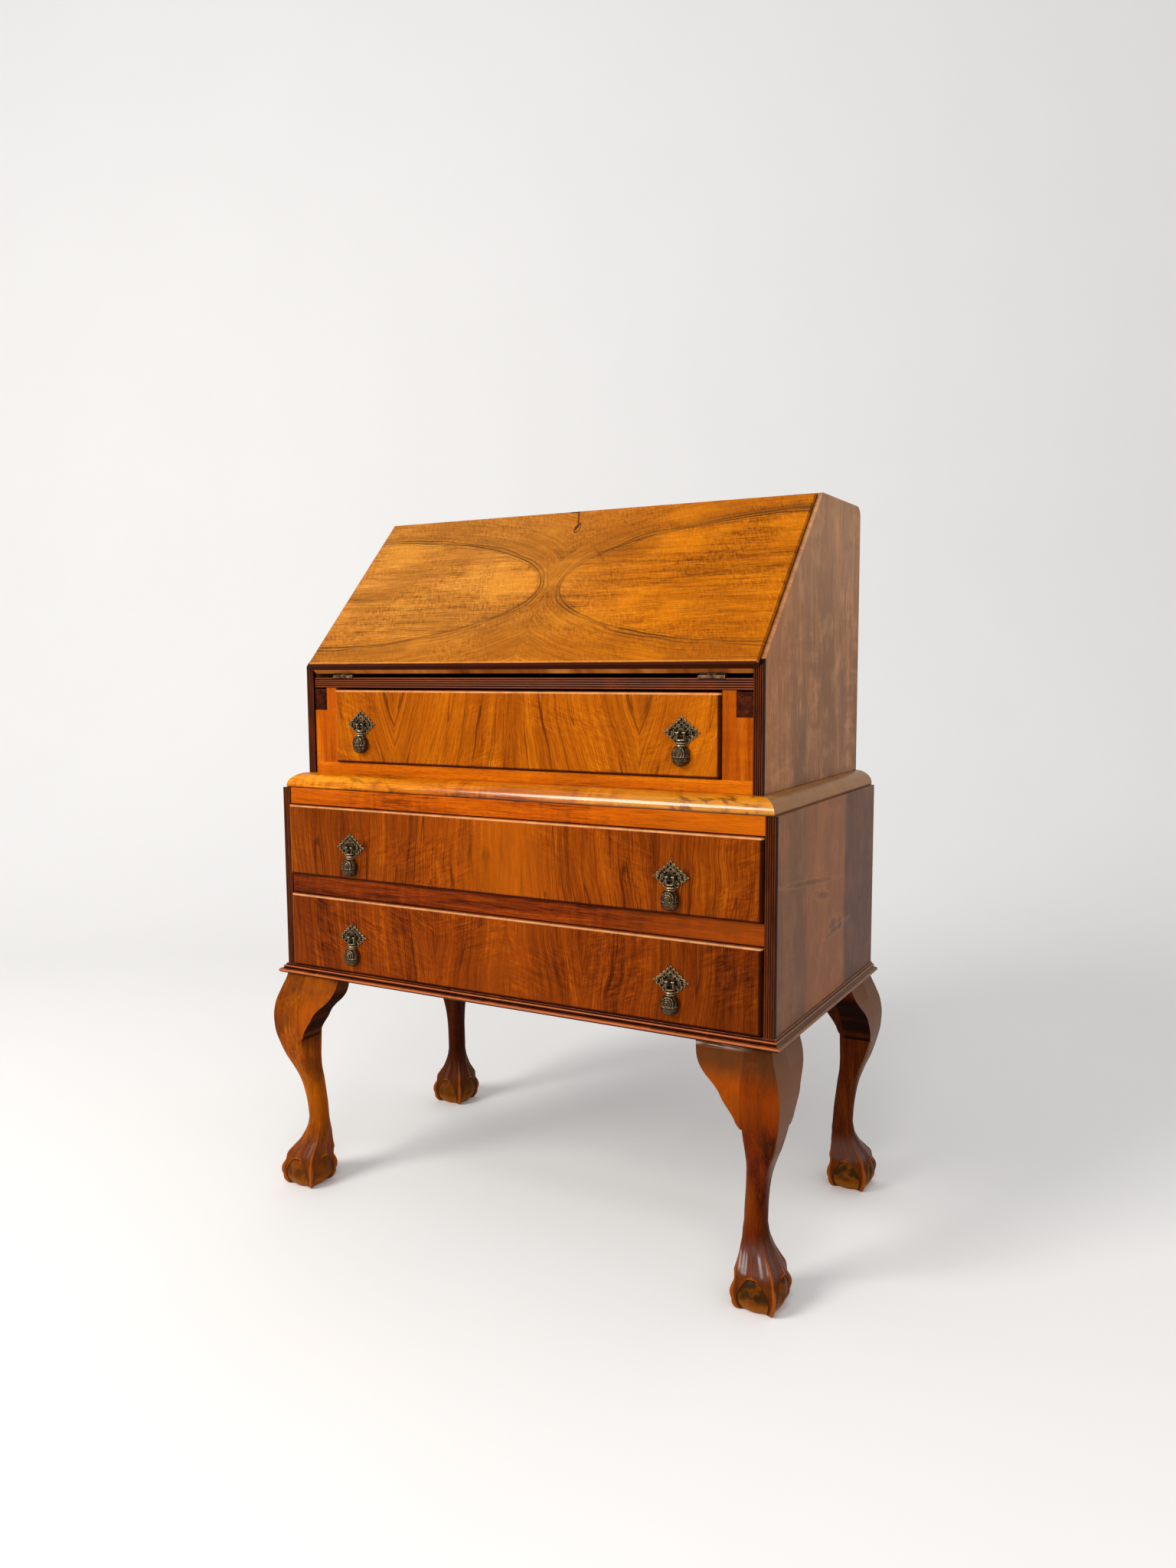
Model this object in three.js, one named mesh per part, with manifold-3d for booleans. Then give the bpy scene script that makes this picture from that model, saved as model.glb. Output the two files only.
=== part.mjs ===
// A writing bureau on cabriole legs with ball-and-claw feet, in millimetres, +Z up.
// It faces -Y. Lengths along Y are worked out from the back plane of the case, which is y = 0
// until the last lines move the whole bureau so that its footprint is centred on the origin.
import * as THREE from "three";
import { mergeVertices } from "three/addons/utils/BufferGeometryUtils.js";
import Module from "manifold-3d";

const wasm = await Module();
wasm.setup();

// Lower and upper case, outside sizes
const lowerWidth = 762;
const lowerDepth = 412;
const upperWidth = 707;
const upperDepth = 385;
const topDepth = 172;

// Heights, from the floor up
const legHeight = 326;
const bottomThickness = 13;
const lowerCaseHeight = 263;
const waistThickness = 21;
const upperFrontHeight = 154;
const slantRise = 224;

// Boards
const lowerSideThickness = 14;
const upperSideThickness = 13;
const topThickness = 13;
const backThickness = 5;
const railThickness = 18;
const stripThickness = 7;
const stripReed = 1.2;
const cornerRound = 15;

// Clearances
const touchGap = 0.3;
const drawerGap = 1;
const overrun = 5;
const weldDistance = 0.0001;

// Base moulding and waist moulding
const baseProjection = 10;
const waistSetback = 4;
const waistRoundWidth = 24;
const waistLip = 2.5;

// Lower rails and drawers
const friezeHeight = 23;
const railSetback = 1.5;
const midRailHeight = 27;
const drawerThreeHeight = 109;
const runnerWidth = 16;
const runnerThickness = 12;

// Upper rails, writing board and stiles
const bottomRailHeight = 16.5;
const bottomRailDepth = 60;
const boardThickness = 15;
const boardTopBelowSlant = 15;
const boardReed = 1.2;
const stileWidth = 40;
const stileThickness = 20;
const upperSetback = 3;

// Lopers and their guides
const loperWidth = 21.5;
const loperHeight = 30;
const loperLength = 330;
const loperShelf = 10;
const guideWallEnd = 20;

// Fall
const fallInset = 11;
const fallLip = 5.5;
const fallOverlap = 7;
const fallEnd = 3;
const fallTopMargin = 5;
const fallBead = 2.2;
const fallOpenGap = 0.5;
const keyholeRadius = 3;
const keyholeSlot = 6.5;
const keyholeSlotWidth = 3.2;
const keyholeDrop = 36;

// Fall hinges
const hingeOffset = 286.5;
const hingeLength = 35;
const hingeLeafWidth = 20;
const hingeLeafThickness = 1.5;
const knuckleRadius = 2.6;
const hingePinRadius = 1.1;

// Fall lock
const lockWidth = 60;
const lockHeight = 34;
const lockDepth = 8;
const boltWidth = 22;
const boltThickness = 4;
const boltLength = 16;
const boltThrow = 6;

// Drawer boxes
const frontThickness = 18;
const frontProud = 5;
const thumbnail = 4;
const drawerSideThickness = 9;
const drawerBackThickness = 8;
const drawerBottomThickness = 4;
const drawerBottomRise = 8;
const drawerGroove = 4;
const drawerSideDrop = 7;
const drawerBackDrop = 6;
const upperDrawerDepth = 345;
const lowerDrawerDepth = 375;

// Handles
const handleOffset = 250;
const upperHandleRise = 3.5;
const middleHandleDrop = 4;
const plateWidth = 50;
const plateHeight = 42;
const plateThickness = 1.6;
const plateHole = 2.1;
const postRadius = 3.1;
const postStandoff = 3.4;
const postTip = 3;
const yokeSpread = 9.6;
const yokeRadius = 1.2;
const yokeDrop = 7.8;
const yokeSeat = 1.1;
const collarRadius = 6.2;
const collarHeight = 8.3;
const ballRadius = 12.4;
const ballHeight = 25;
const dropClearance = 0.9;

// Pigeonhole rack
const rackDepth = 145;
const rackBoard = 7;
const rackShelfHeight = 95;
const rackDivider = 6;
const rackBayWidth = 190;
const rackTopGap = 1.5;

// Legs
const kneeReach = 14.5;
const frontLegForward = 5;
const ankleInset = 29.5;
const earWidth = 99;
const earThickness = 27;
const footInset = 18;
const clawRadius = 41;
const footBallRadius = 32.5;
const clawHeight = 100;

// Heights and planes that follow from the sizes
const lowerBottom = legHeight + bottomThickness;
const lowerTop = lowerBottom + lowerCaseHeight;
const upperBottom = lowerTop + waistThickness;
const slantBottom = upperBottom + upperFrontHeight;
const bureauTop = slantBottom + slantRise;
const topUnderside = bureauTop - topThickness;
const slantRun = upperDepth - topDepth;
const slantAngle = Math.atan2(slantRise, slantRun);
const slantLength = Math.hypot(slantRise, slantRun);
const lowerInside = lowerWidth / 2 - lowerSideThickness;
const upperInside = upperWidth / 2 - upperSideThickness;
const boardTop = slantBottom - boardTopBelowSlant;
const boardUnderside = boardTop - boardThickness;
const fallThickness = fallInset + fallLip;
const openFallUnderside = boardTop - fallThickness;
const railFront = -(upperDepth - upperSetback);
const drawerOneBottom = upperBottom + bottomRailHeight;
const loperTop = openFallUnderside - touchGap;
const loperBottom = loperTop - loperHeight;
const loperOutside = upperInside - touchGap;
const loperInside = loperOutside - loperWidth;
const stileInside = upperInside - stileWidth;
const midRailBottom = lowerBottom + drawerThreeHeight;
const midRailTop = midRailBottom + midRailHeight;
const friezeBottom = lowerTop - friezeHeight;

// Number of facets
const roundSteps = 5;
const reedSteps = 4;
const thumbnailSteps = 3;
const knuckleSides = 12;
const dropSides = 20;
const holeSides = 6;
const postSides = 10;
const wireSides = 8;

// A closed mesh as a solid that can be joined and cut
function solid(geometry) {
  const bare = geometry.clone();
  for (const name of Object.keys(bare.attributes)) {
    if (name !== "position") bare.deleteAttribute(name);
  }
  const merged = mergeVertices(bare, weldDistance);
  return new wasm.Manifold(new wasm.Mesh({
    numProp: 3,
    vertProperties: new Float32Array(merged.attributes.position.array),
    triVerts: new Uint32Array(merged.index.array),
  }));
}

// The solid back as a geometry
function geometryOf(body) {
  const mesh = body.getMesh();
  const geometry = new THREE.BufferGeometry();
  const stride = mesh.numProp;
  const count = mesh.vertProperties.length / stride;
  const position = new Float32Array(count * 3);
  for (let i = 0; i < count; i += 1) {
    for (let k = 0; k < 3; k += 1) position[3 * i + k] = mesh.vertProperties[stride * i + k];
  }
  geometry.setAttribute("position", new THREE.BufferAttribute(position, 3));
  geometry.setIndex(Array.from(mesh.triVerts));
  return geometry;
}

function cut(body, ...tools) {
  return tools.reduce((rest, tool) => rest.subtract(tool), body);
}

function join(body, ...others) {
  return others.reduce((whole, other) => whole.add(other), body);
}

// An outline pushed along one axis, from one plane to another
// Along x its points are [y, z], along y they are [x, z], along z they are [x, y]
function prism(axis, outline, from, to) {
  const points = outline.map(([a, b]) => new THREE.Vector2(a, b));
  const shape = new THREE.Shape(points);
  const geometry = new THREE.ExtrudeGeometry(shape, { depth: 1, bevelEnabled: false });
  const position = geometry.attributes.position;
  for (let i = 0; i < position.count; i += 1) {
    const a = position.getX(i);
    const b = position.getY(i);
    const far = position.getZ(i) > 0;
    if (axis === "x") position.setXYZ(i, far ? to : from, a, b);
    if (axis === "y") position.setXYZ(i, a, far ? from : to, b);
    if (axis === "z") position.setXYZ(i, a, b, far ? to : from);
  }
  return solid(geometry);
}

// A rectangular board between two corners
function board(xs, ys, zs) {
  return prism("z", [[xs[0], ys[0]], [xs[1], ys[0]], [xs[1], ys[1]], [xs[0], ys[1]]], zs[0], zs[1]);
}

// A round bar along x
function barAlongX(radius, y, z, from, to, sides = knuckleSides) {
  const outline = [];
  for (let i = 0; i < sides; i += 1) {
    const angle = (i + 0.5) * 2 * Math.PI / sides;
    outline.push([y + radius * Math.cos(angle), z + radius * Math.sin(angle)]);
  }
  return prism("x", outline, from, to);
}

// A round bar along y
function barAlongY(radius, x, z, from, to, sides = knuckleSides) {
  const outline = [];
  for (let i = 0; i < sides; i += 1) {
    const angle = (i + 0.5) * 2 * Math.PI / sides;
    outline.push([x + radius * Math.cos(angle), z + radius * Math.sin(angle)]);
  }
  return prism("y", outline, from, to);
}

// Points of an arc, as [a, b], from one angle to another
function arc(a, b, radiusA, radiusB, start, end, steps) {
  const points = [];
  for (let i = 0; i <= steps; i += 1) {
    const angle = start + (end - start) * i / steps;
    points.push([a + radiusA * Math.cos(angle), b + radiusB * Math.sin(angle)]);
  }
  return points;
}

// The place [y, z] of a point on the slope: along it from the case's front corner, and out of it
function onSlope(along, out) {
  const c = Math.cos(slantAngle);
  const s = Math.sin(slantAngle);
  return [-upperDepth + along * c - out * s, slantBottom + along * s + out * c];
}

// The line that the fall turns on. The fall's end, open, clears the case's front by fallOpenGap,
// and its inner face comes level with the writing board.
function fallPivot() {
  const c = 1 + Math.cos(slantAngle);
  const s = Math.sin(slantAngle);
  const a = -fallEnd - fallOpenGap - s * fallInset;
  const b = boardTop - slantBottom + Math.cos(slantAngle) * fallInset;
  const along = (c * a + s * b) / (c * c + s * s);
  const rise = (s * a - c * b) / (c * c + s * s);
  const [y, z] = onSlope(along, -fallInset - rise);
  return { along, rise, y, z };
}
const pivot = fallPivot();

// The group that holds every piece
const bureau = new THREE.Group();

const finishes = {
  walnut: { color: 0xb06a22, roughness: 0.35, metalness: 0 },
  fall: { color: 0xb87526, roughness: 0.3, metalness: 0 },
  drawerFront: { color: 0xa85f1c, roughness: 0.32, metalness: 0 },
  sidePanel: { color: 0x7d5a44, roughness: 0.45, metalness: 0 },
  rail: { color: 0xb5641a, roughness: 0.35, metalness: 0 },
  darkWood: { color: 0x4a2112, roughness: 0.4, metalness: 0 },
  drawerBox: { color: 0xb98d5a, roughness: 0.65, metalness: 0 },
  leg: { color: 0xa65f17, roughness: 0.35, metalness: 0 },
  inside: { color: 0x9a7146, roughness: 0.6, metalness: 0 },
  bronze: { color: 0x5a4c34, roughness: 0.45, metalness: 0.9 },
  brass: { color: 0xa0884a, roughness: 0.4, metalness: 1 },
};

function piece(name, body, finish) {
  const mesh = new THREE.Mesh(geometryOf(body), new THREE.MeshStandardMaterial(finishes[finish]));
  mesh.name = name;
  bureau.add(mesh);
  return mesh;
}

// Names and signs of the two sides of the bureau
const hands = [["left", -1], ["right", 1]];

// A range of x on one side, lowest first
function sided(sign, inner, outer) {
  return sign > 0 ? [inner, outer] : [-outer, -inner];
}

// Edge profile of the base moulding: shares of its projection and of its height, top first
const baseEdgeShares = [
  [0, 1], [0.22, 0.93], [0.34, 0.8], [0.5, 0.82], [0.58, 0.72], [0.56, 0.62], [0.74, 0.64],
  [0.8, 0.55], [0.78, 0.46], [0.94, 0.42], [1, 0.28], [0.95, 0.12], [0.84, 0],
];

// A slab whose front and side edges carry one profile, with mitred front corners
// The profile's points are [how far out, height]; the bottom of the last one closes it
function mouldedSlab(halfWidth, depth, profile) {
  const top = profile[0][1];
  const foot = profile[profile.length - 1][1];
  const front = [[0, foot], [0, top]];
  for (const [out, z] of profile) front.push([-(depth + out), z]);
  const side = [];
  for (const [out, z] of profile) side.push([halfWidth + out, z]);
  for (const [out, z] of [...profile].reverse()) side.push([-(halfWidth + out), z]);
  const reach = Math.max(...profile.map(([out]) => out)) + overrun;
  return prism("x", front, -halfWidth - reach, halfWidth + reach)
    .intersect(prism("y", side, -depth - reach, 0));
}

function buildBottomBoard() {
  const profile = baseEdgeShares
    .map(([out, up]) => [out * baseProjection, legHeight + up * bottomThickness]);
  piece("bottom_board", mouldedSlab(lowerWidth / 2, lowerDepth, profile), "walnut");
}

function buildWaistBoard() {
  const roundHeight = waistThickness - waistLip;
  const profile = arc(0, 0, waistRoundWidth, roundHeight, Math.PI / 2, 0, roundSteps + 2)
    .map(([a, b]) => [a - waistRoundWidth - waistSetback, lowerTop + waistLip + b]);
  profile.push([-waistSetback, lowerTop]);
  piece("waist_board", mouldedSlab(lowerWidth / 2, lowerDepth, profile), "walnut");
}

// A vertical strip with rounded reeds on its front face
function reededStrip(sign, outside, width, front, zs) {
  const reeds = 5;
  const pitch = width / reeds;
  const inner = outside - width;
  const outline = [[sign * inner, front + stripThickness], [sign * outside, front + stripThickness]];
  for (let i = reeds - 1; i >= 0; i -= 1) {
    const middle = inner + (i + 0.5) * pitch;
    const reed = arc(middle, front + stripReed, pitch / 2, stripReed, 0, -Math.PI, reedSteps);
    const fresh = i === reeds - 1 ? reed : reed.slice(1);
    outline.push(...fresh.map(([a, b]) => [sign * a, b]));
  }
  return prism("z", outline, zs[0], zs[1]);
}

function buildLowerCase() {
  for (const [hand, sign] of hands) {
    const outer = lowerWidth / 2;
    const panel = board(
      sided(sign, lowerInside, outer),
      [-(lowerDepth - stripThickness), 0],
      [lowerBottom, lowerTop],
    );
    const runner = board(
      sided(sign, lowerInside - runnerWidth, lowerInside),
      [-(lowerDepth - railSetback - railThickness), -backThickness - touchGap],
      [midRailTop - runnerThickness, midRailTop],
    );
    piece(`lower_side_${hand}`, join(panel, runner), "sidePanel");
    piece(
      `lower_strip_${hand}`,
      reededStrip(sign, outer, lowerSideThickness, -lowerDepth, [lowerBottom, lowerTop]),
      "darkWood",
    );
  }
  const across = [-lowerInside, lowerInside];
  const railYs = [-(lowerDepth - railSetback), -(lowerDepth - railSetback - railThickness)];
  piece("frieze_rail", board(across, railYs, [friezeBottom, lowerTop]), "rail");
  piece("mid_rail", board(across, railYs, [midRailBottom, midRailTop]), "darkWood");
  piece("lower_back", board(across, [-backThickness, 0], [lowerBottom, lowerTop]), "inside");
}

// The sloping side panel's outline, as [y, z]
function upperSideOutline() {
  const front = -(upperDepth - stripThickness);
  const frontTop = slantBottom + stripThickness * slantRise / slantRun;
  const outline = [[0, upperBottom], [front, upperBottom], [front, frontTop], [-topDepth, bureauTop]];
  outline.push(...topRound().reverse());
  return outline;
}

// The rounded rear edge of the top, as [y, z], from the back up and forwards
function topRound() {
  return arc(-cornerRound, bureauTop - cornerRound, cornerRound, cornerRound, 0, Math.PI / 2, roundSteps);
}

function buildUpperCase() {
  for (const [hand, sign] of hands) {
    const outer = upperWidth / 2;
    const xs = sided(sign, upperInside, outer);
    piece(`upper_side_${hand}`, prism("x", upperSideOutline(), xs[0], xs[1]), "sidePanel");
    const strip = reededStrip(sign, outer, upperSideThickness, -upperDepth, [upperBottom, bureauTop]);
    const reach = slantLength;
    const above = slopeBlock([-outer - overrun, outer + overrun], [-reach, reach], [0, reach]);
    piece(`upper_strip_${hand}`, cut(strip, above), "darkWood");
  }
  const across = [-upperInside, upperInside];
  piece("upper_back", board(across, [-backThickness, 0], [upperBottom, topUnderside]), "inside");
  piece(
    "upper_bottom_rail",
    board(across, [railFront, railFront + bottomRailDepth], [upperBottom, drawerOneBottom]),
    "rail",
  );
  buildTop();
}

// Top board, its front edge cut along the slope under the fall's lip, with a mortise for the bolt
function buildTop() {
  const under = [onSlope(slantLength, -touchGap), onSlope(0, -touchGap)];
  const slope = (under[0][0] - under[1][0]) / (under[0][1] - under[1][1]);
  const edge = (z) => under[1][0] + (z - under[1][1]) * slope;
  const outline = [
    [0, topUnderside],
    ...topRound().filter(([, z]) => z > topUnderside),
    [edge(bureauTop), bureauTop],
    [edge(topUnderside), topUnderside],
  ];
  const slab = prism("x", outline, -upperInside, upperInside);
  const slack = 2 * touchGap;
  const mid = boltMiddle();
  const mortise = slopeBlock(
    [-boltWidth / 2 - slack, boltWidth / 2 + slack],
    [lockTop - boltLength, lockTop + boltThrow + slack],
    [mid - boltThickness / 2 - slack, mid + boltThickness / 2 + slack],
  );
  piece("top_board", cut(slab, mortise), "walnut");
}

// How far up the slope the inset part of the fall reaches
const fallInsetTop = slantLength - topThickness / Math.sin(slantAngle) - touchGap;
const fallTop = slantLength - fallTopMargin;
const lockTop = fallInsetTop;

function boltMiddle() {
  return -fallInset + lockDepth / 2;
}

// A block on the slope, by its ranges across, along the slope and out of it
function slopeBlock(xs, alongs, outs) {
  return prism("x", [onSlope(alongs[0], outs[0]), onSlope(alongs[1], outs[0]),
    onSlope(alongs[1], outs[1]), onSlope(alongs[0], outs[1])], xs[0], xs[1]);
}

// The lip of the fall: a slab with a two-step rounded edge on its top and sides
function fallLipSolid() {
  const halfWidth = upperInside + fallOverlap;
  const steps = [[0, 0, fallLip - fallBead], [fallBead, fallBead, fallLip]];
  const blocks = steps.map(([inset, low, high]) => slopeBlock(
    [-halfWidth + inset, halfWidth - inset],
    [-fallEnd, fallTop - inset],
    [low, high],
  ));
  return join(...blocks);
}

// How far across a pocket for a hinge reaches
function hingePocketXs(sign) {
  const reach = hingeLength / 2 + touchGap;
  return sided(sign, hingeOffset - reach, hingeOffset + reach);
}

function buildFall() {
  const half = upperInside - 2 * touchGap;
  const inset = slopeBlock([-half, half], [-fallEnd, fallInsetTop], [-fallInset, fallLip / 2]);
  const lip = fallLipSolid();
  const lockPocket = slopeBlock(
    [-lockWidth / 2 - touchGap, lockWidth / 2 + touchGap],
    [lockTop - lockHeight - touchGap, fallInsetTop + overrun],
    [-fallInset - overrun, -fallInset + lockDepth + touchGap],
  );
  const pockets = hands.map(([, sign]) => slopeBlock(
    hingePocketXs(sign),
    [-fallEnd - overrun, pivot.along + hingeLeafWidth + touchGap],
    [-fallInset - overrun, -fallInset + hingeLeafThickness + touchGap],
  ));
  piece("fall", cut(join(inset, lip), lockPocket, ...pockets, keyhole()), "fall");
}

// A keyhole through the fall: a round hole with a slot below it
function keyhole() {
  const along = fallTop - keyholeDrop;
  const outline = arc(0, 0, keyholeRadius, keyholeRadius, -Math.PI / 4, 5 * Math.PI / 4, 8);
  outline.push([-keyholeSlotWidth / 2, -keyholeSlot], [keyholeSlotWidth / 2, -keyholeSlot]);
  const points = outline.map(([x, up]) => new THREE.Vector2(x, up));
  const depth = fallLip + fallInset;
  const geometry = new THREE.ExtrudeGeometry(new THREE.Shape(points), { depth, bevelEnabled: false });
  const [y, z] = onSlope(along, -fallInset + lockDepth / 2);
  geometry.rotateX(slantAngle);
  geometry.translate(0, y, z);
  return solid(geometry);
}

function buildFallHinges() {
  for (const [hand, sign] of hands) {
    const low = sign * hingeOffset - hingeLength / 2;
    const third = hingeLength / 3;
    const middle = [low + third + touchGap, low + 2 * third - touchGap];
    const full = [low, low + hingeLength];
    const clear = knuckleRadius + touchGap;

    const leafOuts = [-fallInset, -fallInset + hingeLeafThickness];
    const leafAlongs = [pivot.along + clear + touchGap, pivot.along + hingeLeafWidth];
    const fallPlate = slopeBlock(full, leafAlongs, leafOuts);
    const fallTongue = slopeBlock(middle, [pivot.along, leafAlongs[0] + touchGap], leafOuts);
    const fallKnuckle = barAlongX(knuckleRadius, pivot.y, pivot.z, middle[0], middle[1]);
    const boreXs = [middle[0] - overrun, middle[1] + overrun];
    const bore = barAlongX(hingePinRadius + touchGap, pivot.y, pivot.z, ...boreXs);
    piece(`fall_hinge_leaf_${hand}`, cut(join(fallPlate, fallTongue, fallKnuckle), bore), "brass");

    const plateYs = [pivot.y + clear + touchGap, pivot.y + hingeLeafWidth];
    const plateZs = [boardTop - hingeLeafThickness, boardTop];
    const casePlate = board(full, plateYs, plateZs);
    const ends = [[full[0], low + third], [low + 2 * third, full[1]]];
    const tongues = ends.map((xs) => board(xs, [pivot.y, plateYs[0] + touchGap], plateZs));
    const knuckles = ends.map((xs) => barAlongX(knuckleRadius, pivot.y, pivot.z, xs[0], xs[1]));
    const pin = barAlongX(hingePinRadius, pivot.y, pivot.z, full[0] + touchGap, full[1] - touchGap);
    piece(`board_hinge_leaf_${hand}`, join(casePlate, ...tongues, ...knuckles, pin), "brass");
  }
}

// Writing board with a reeded front edge, let in for the hinge leaves and their knuckles
function buildWritingBoard() {
  const reeds = 5;
  const pitch = boardThickness / reeds;
  const outline = [[-backThickness - touchGap, boardUnderside], [-backThickness - touchGap, boardTop]];
  for (let i = reeds - 1; i >= 0; i -= 1) {
    const middle = boardUnderside + (i + 0.5) * pitch;
    const turns = [Math.PI / 2, 3 * Math.PI / 2];
    const reed = arc(railFront + boardReed, middle, boardReed, pitch / 2, ...turns, reedSteps);
    outline.push(...(i === reeds - 1 ? reed : reed.slice(1)));
  }
  const slab = prism("x", outline, -upperInside, upperInside);
  const pockets = hands.flatMap(([, sign]) => {
    const xs = hingePocketXs(sign);
    const leaf = board(
      xs,
      [pivot.y - overrun, pivot.y + hingeLeafWidth + touchGap],
      [boardTop - hingeLeafThickness - touchGap, boardTop + overrun],
    );
    return [leaf, barAlongX(knuckleRadius + touchGap, pivot.y, pivot.z, xs[0], xs[1])];
  });
  piece("writing_board", cut(slab, ...pockets), "walnut");
}

// Fall lock: a box let into the fall, open at its top for the bolt
function buildLock() {
  const body = slopeBlock([-lockWidth / 2, lockWidth / 2], [lockTop - lockHeight, lockTop],
    [-fallInset, -fallInset + lockDepth]);
  const mid = boltMiddle();
  const slot = slopeBlock(
    [-boltWidth / 2 - touchGap, boltWidth / 2 + touchGap],
    [lockTop - boltLength - touchGap, lockTop + overrun],
    [mid - boltThickness / 2 - touchGap, mid + boltThickness / 2 + touchGap],
  );
  piece("fall_lock", cut(body, slot), "brass");
  piece("lock_bolt", slopeBlock([-boltWidth / 2, boltWidth / 2], [lockTop - boltLength, lockTop],
    [mid - boltThickness / 2, mid + boltThickness / 2]), "brass");
}

// Stile, loper guide and drawer runner in one piece, and the loper that slides in it
function buildLopers() {
  const back = -backThickness - touchGap;
  const stileBack = railFront + stileThickness;
  for (const [hand, sign] of hands) {
    const stileXs = sided(sign, stileInside, upperInside);
    const channelFloor = loperBottom - touchGap;
    const wallEnd = back - guideWallEnd;
    const railBack = railFront + bottomRailDepth;
    const stile = board(stileXs, [railFront, stileBack], [drawerOneBottom, boardUnderside]);
    const wall = board(
      sided(sign, stileInside, loperInside - touchGap),
      [railFront, wallEnd],
      [drawerOneBottom, boardUnderside],
    );
    const shelf = board(stileXs, [railFront, wallEnd], [channelFloor - loperShelf, channelFloor]);
    const runner = board(
      sided(sign, stileInside - runnerWidth, upperInside),
      [railBack, back],
      [upperBottom, drawerOneBottom],
    );
    const post = board(
      stileXs,
      [railBack, railBack + stileThickness],
      [drawerOneBottom - bottomRailHeight / 2, channelFloor],
    );
    const channel = board(
      sided(sign, loperInside - touchGap, upperInside + overrun),
      [railFront - overrun, stileBack + overrun],
      [channelFloor, boardUnderside + overrun],
    );
    piece(`loper_guide_${hand}`, cut(join(stile, wall, shelf, runner, post), channel), "rail");
    const bar = board(
      sided(sign, loperInside, loperOutside),
      [railFront, railFront + loperLength],
      [loperBottom, loperTop],
    );
    piece(`loper_${hand}`, bar, "darkWood");
  }
}

// A drawer front with thumbnail edges on the part that stands proud
function drawerFront(half, zs, front) {
  const back = front + frontThickness;
  const edge = front + thumbnail;
  const rounded = (a, b, start, end) => arc(a, b, thumbnail, thumbnail, start, end, thumbnailSteps);
  const corner = rounded(half - thumbnail, edge, 0, -Math.PI / 2);
  const plan = [[-half, back], ...corner.map(([x, y]) => [-x, y]), ...[...corner].reverse(), [half, back]];
  const low = rounded(edge, zs[0] + thumbnail, 3 * Math.PI / 2, Math.PI);
  const high = rounded(edge, zs[1] - thumbnail, Math.PI, Math.PI / 2);
  const section = [[back, zs[0]], ...low, ...high, [back, zs[1]]];
  return prism("z", plan, zs[0] - overrun, zs[1] + overrun)
    .intersect(prism("x", section, -half - overrun, half + overrun));
}

// A drawer box behind its front: sides, back, and a bottom let into a groove
function buildDrawer(name, half, zs, front, depth) {
  const box = half - drawerSideThickness;
  const inside = front + frontThickness;
  const rear = inside + depth;
  const floorZs = [zs[0] + drawerBottomRise, zs[0] + drawerBottomRise + drawerBottomThickness];
  const sideTop = zs[1] - drawerSideDrop;
  const groove = board(
    [-box - drawerGroove, box + drawerGroove],
    [inside - drawerGroove, rear + overrun],
    [floorZs[0] - touchGap, floorZs[1] + touchGap],
  );
  piece(`${name}_front`, cut(drawerFront(half, zs, front), groove), "drawerFront");
  for (const [hand, sign] of hands) {
    const side = board(sided(sign, box, half), [inside, rear], [zs[0], sideTop]);
    piece(`${name}_side_${hand}`, cut(side, groove), "drawerBox");
  }
  piece(
    `${name}_back`,
    board([-box, box], [rear - drawerBackThickness, rear], [floorZs[1] + touchGap, sideTop - drawerBackDrop]),
    "drawerBox",
  );
  piece(
    `${name}_bottom`,
    board(
      [-box - drawerGroove + touchGap, box + drawerGroove - touchGap],
      [inside - drawerGroove + touchGap, rear],
      floorZs,
    ),
    "drawerBox",
  );
}

// Half outline of the pierced handle plate, shares of its half width and half height, from the top
const plateEdgeShares = [
  [0, 1], [0.14, 0.78], [0.3, 0.74], [0.36, 0.56], [0.54, 0.5], [0.6, 0.32], [0.84, 0.22], [1, 0],
  [0.78, -0.2], [0.56, -0.3], [0.5, -0.5], [0.3, -0.58], [0.22, -0.8], [0, -1],
];

// Holes of the plate on its right half and middle, shares of its half width and half height
const plateHoleShares = [[0, 0.68], [0.26, 0.4], [0.3, -0.34], [0.5, 0.06], [0.76, 0]];

// A pierced plate with the post that the drop hangs on
function handlePlate(x, z, front) {
  const right = plateEdgeShares.map(([a, b]) => [a * plateWidth / 2, b * plateHeight / 2]);
  const left = right.slice(1, -1).reverse().map(([a, b]) => [-a, b]);
  const outline = [...right, ...left].map(([a, b]) => [x + a, z + b]);
  const plate = prism("y", outline, front - plateThickness, front);
  const spots = plateHoleShares.flatMap(([a, b]) => (a === 0 ? [[a, b]] : [[a, b], [-a, b]]));
  const through = [front - plateThickness - overrun, front + overrun];
  const holes = spots.map(([a, b]) => {
    const place = [x + a * plateWidth / 2, z + b * plateHeight / 2];
    return barAlongY(plateHole, ...place, ...through, holeSides);
  });
  const pivotY = front - plateThickness - postStandoff;
  const post = barAlongY(postRadius, x, z, pivotY - postTip, front - plateThickness / 2, postSides);
  const eyeXs = [x - postRadius - overrun, x + postRadius + overrun];
  const eye = barAlongX(yokeRadius + touchGap, pivotY, z, ...eyeXs, wireSides);
  return cut(join(cut(plate, ...holes), post), eye);
}

// The drop's turned part, as [share of the ball's radius, share of its height], from the collar down
const ballShares = [
  [0, 1], [0.3, 1], [0.52, 0.96], [0.76, 0.86], [0.93, 0.7],
  [1, 0.5], [0.94, 0.28], [0.76, 0.12], [0.45, 0.02], [0, 0],
];
const collarShares = [
  [0, 1], [0.94, 1], [1, 0.88], [0.94, 0.76], [0.62, 0.7],
  [0.62, 0.5], [0.9, 0.44], [0.98, 0.3], [0.9, 0.16], [0.55, 0.08],
];

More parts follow.
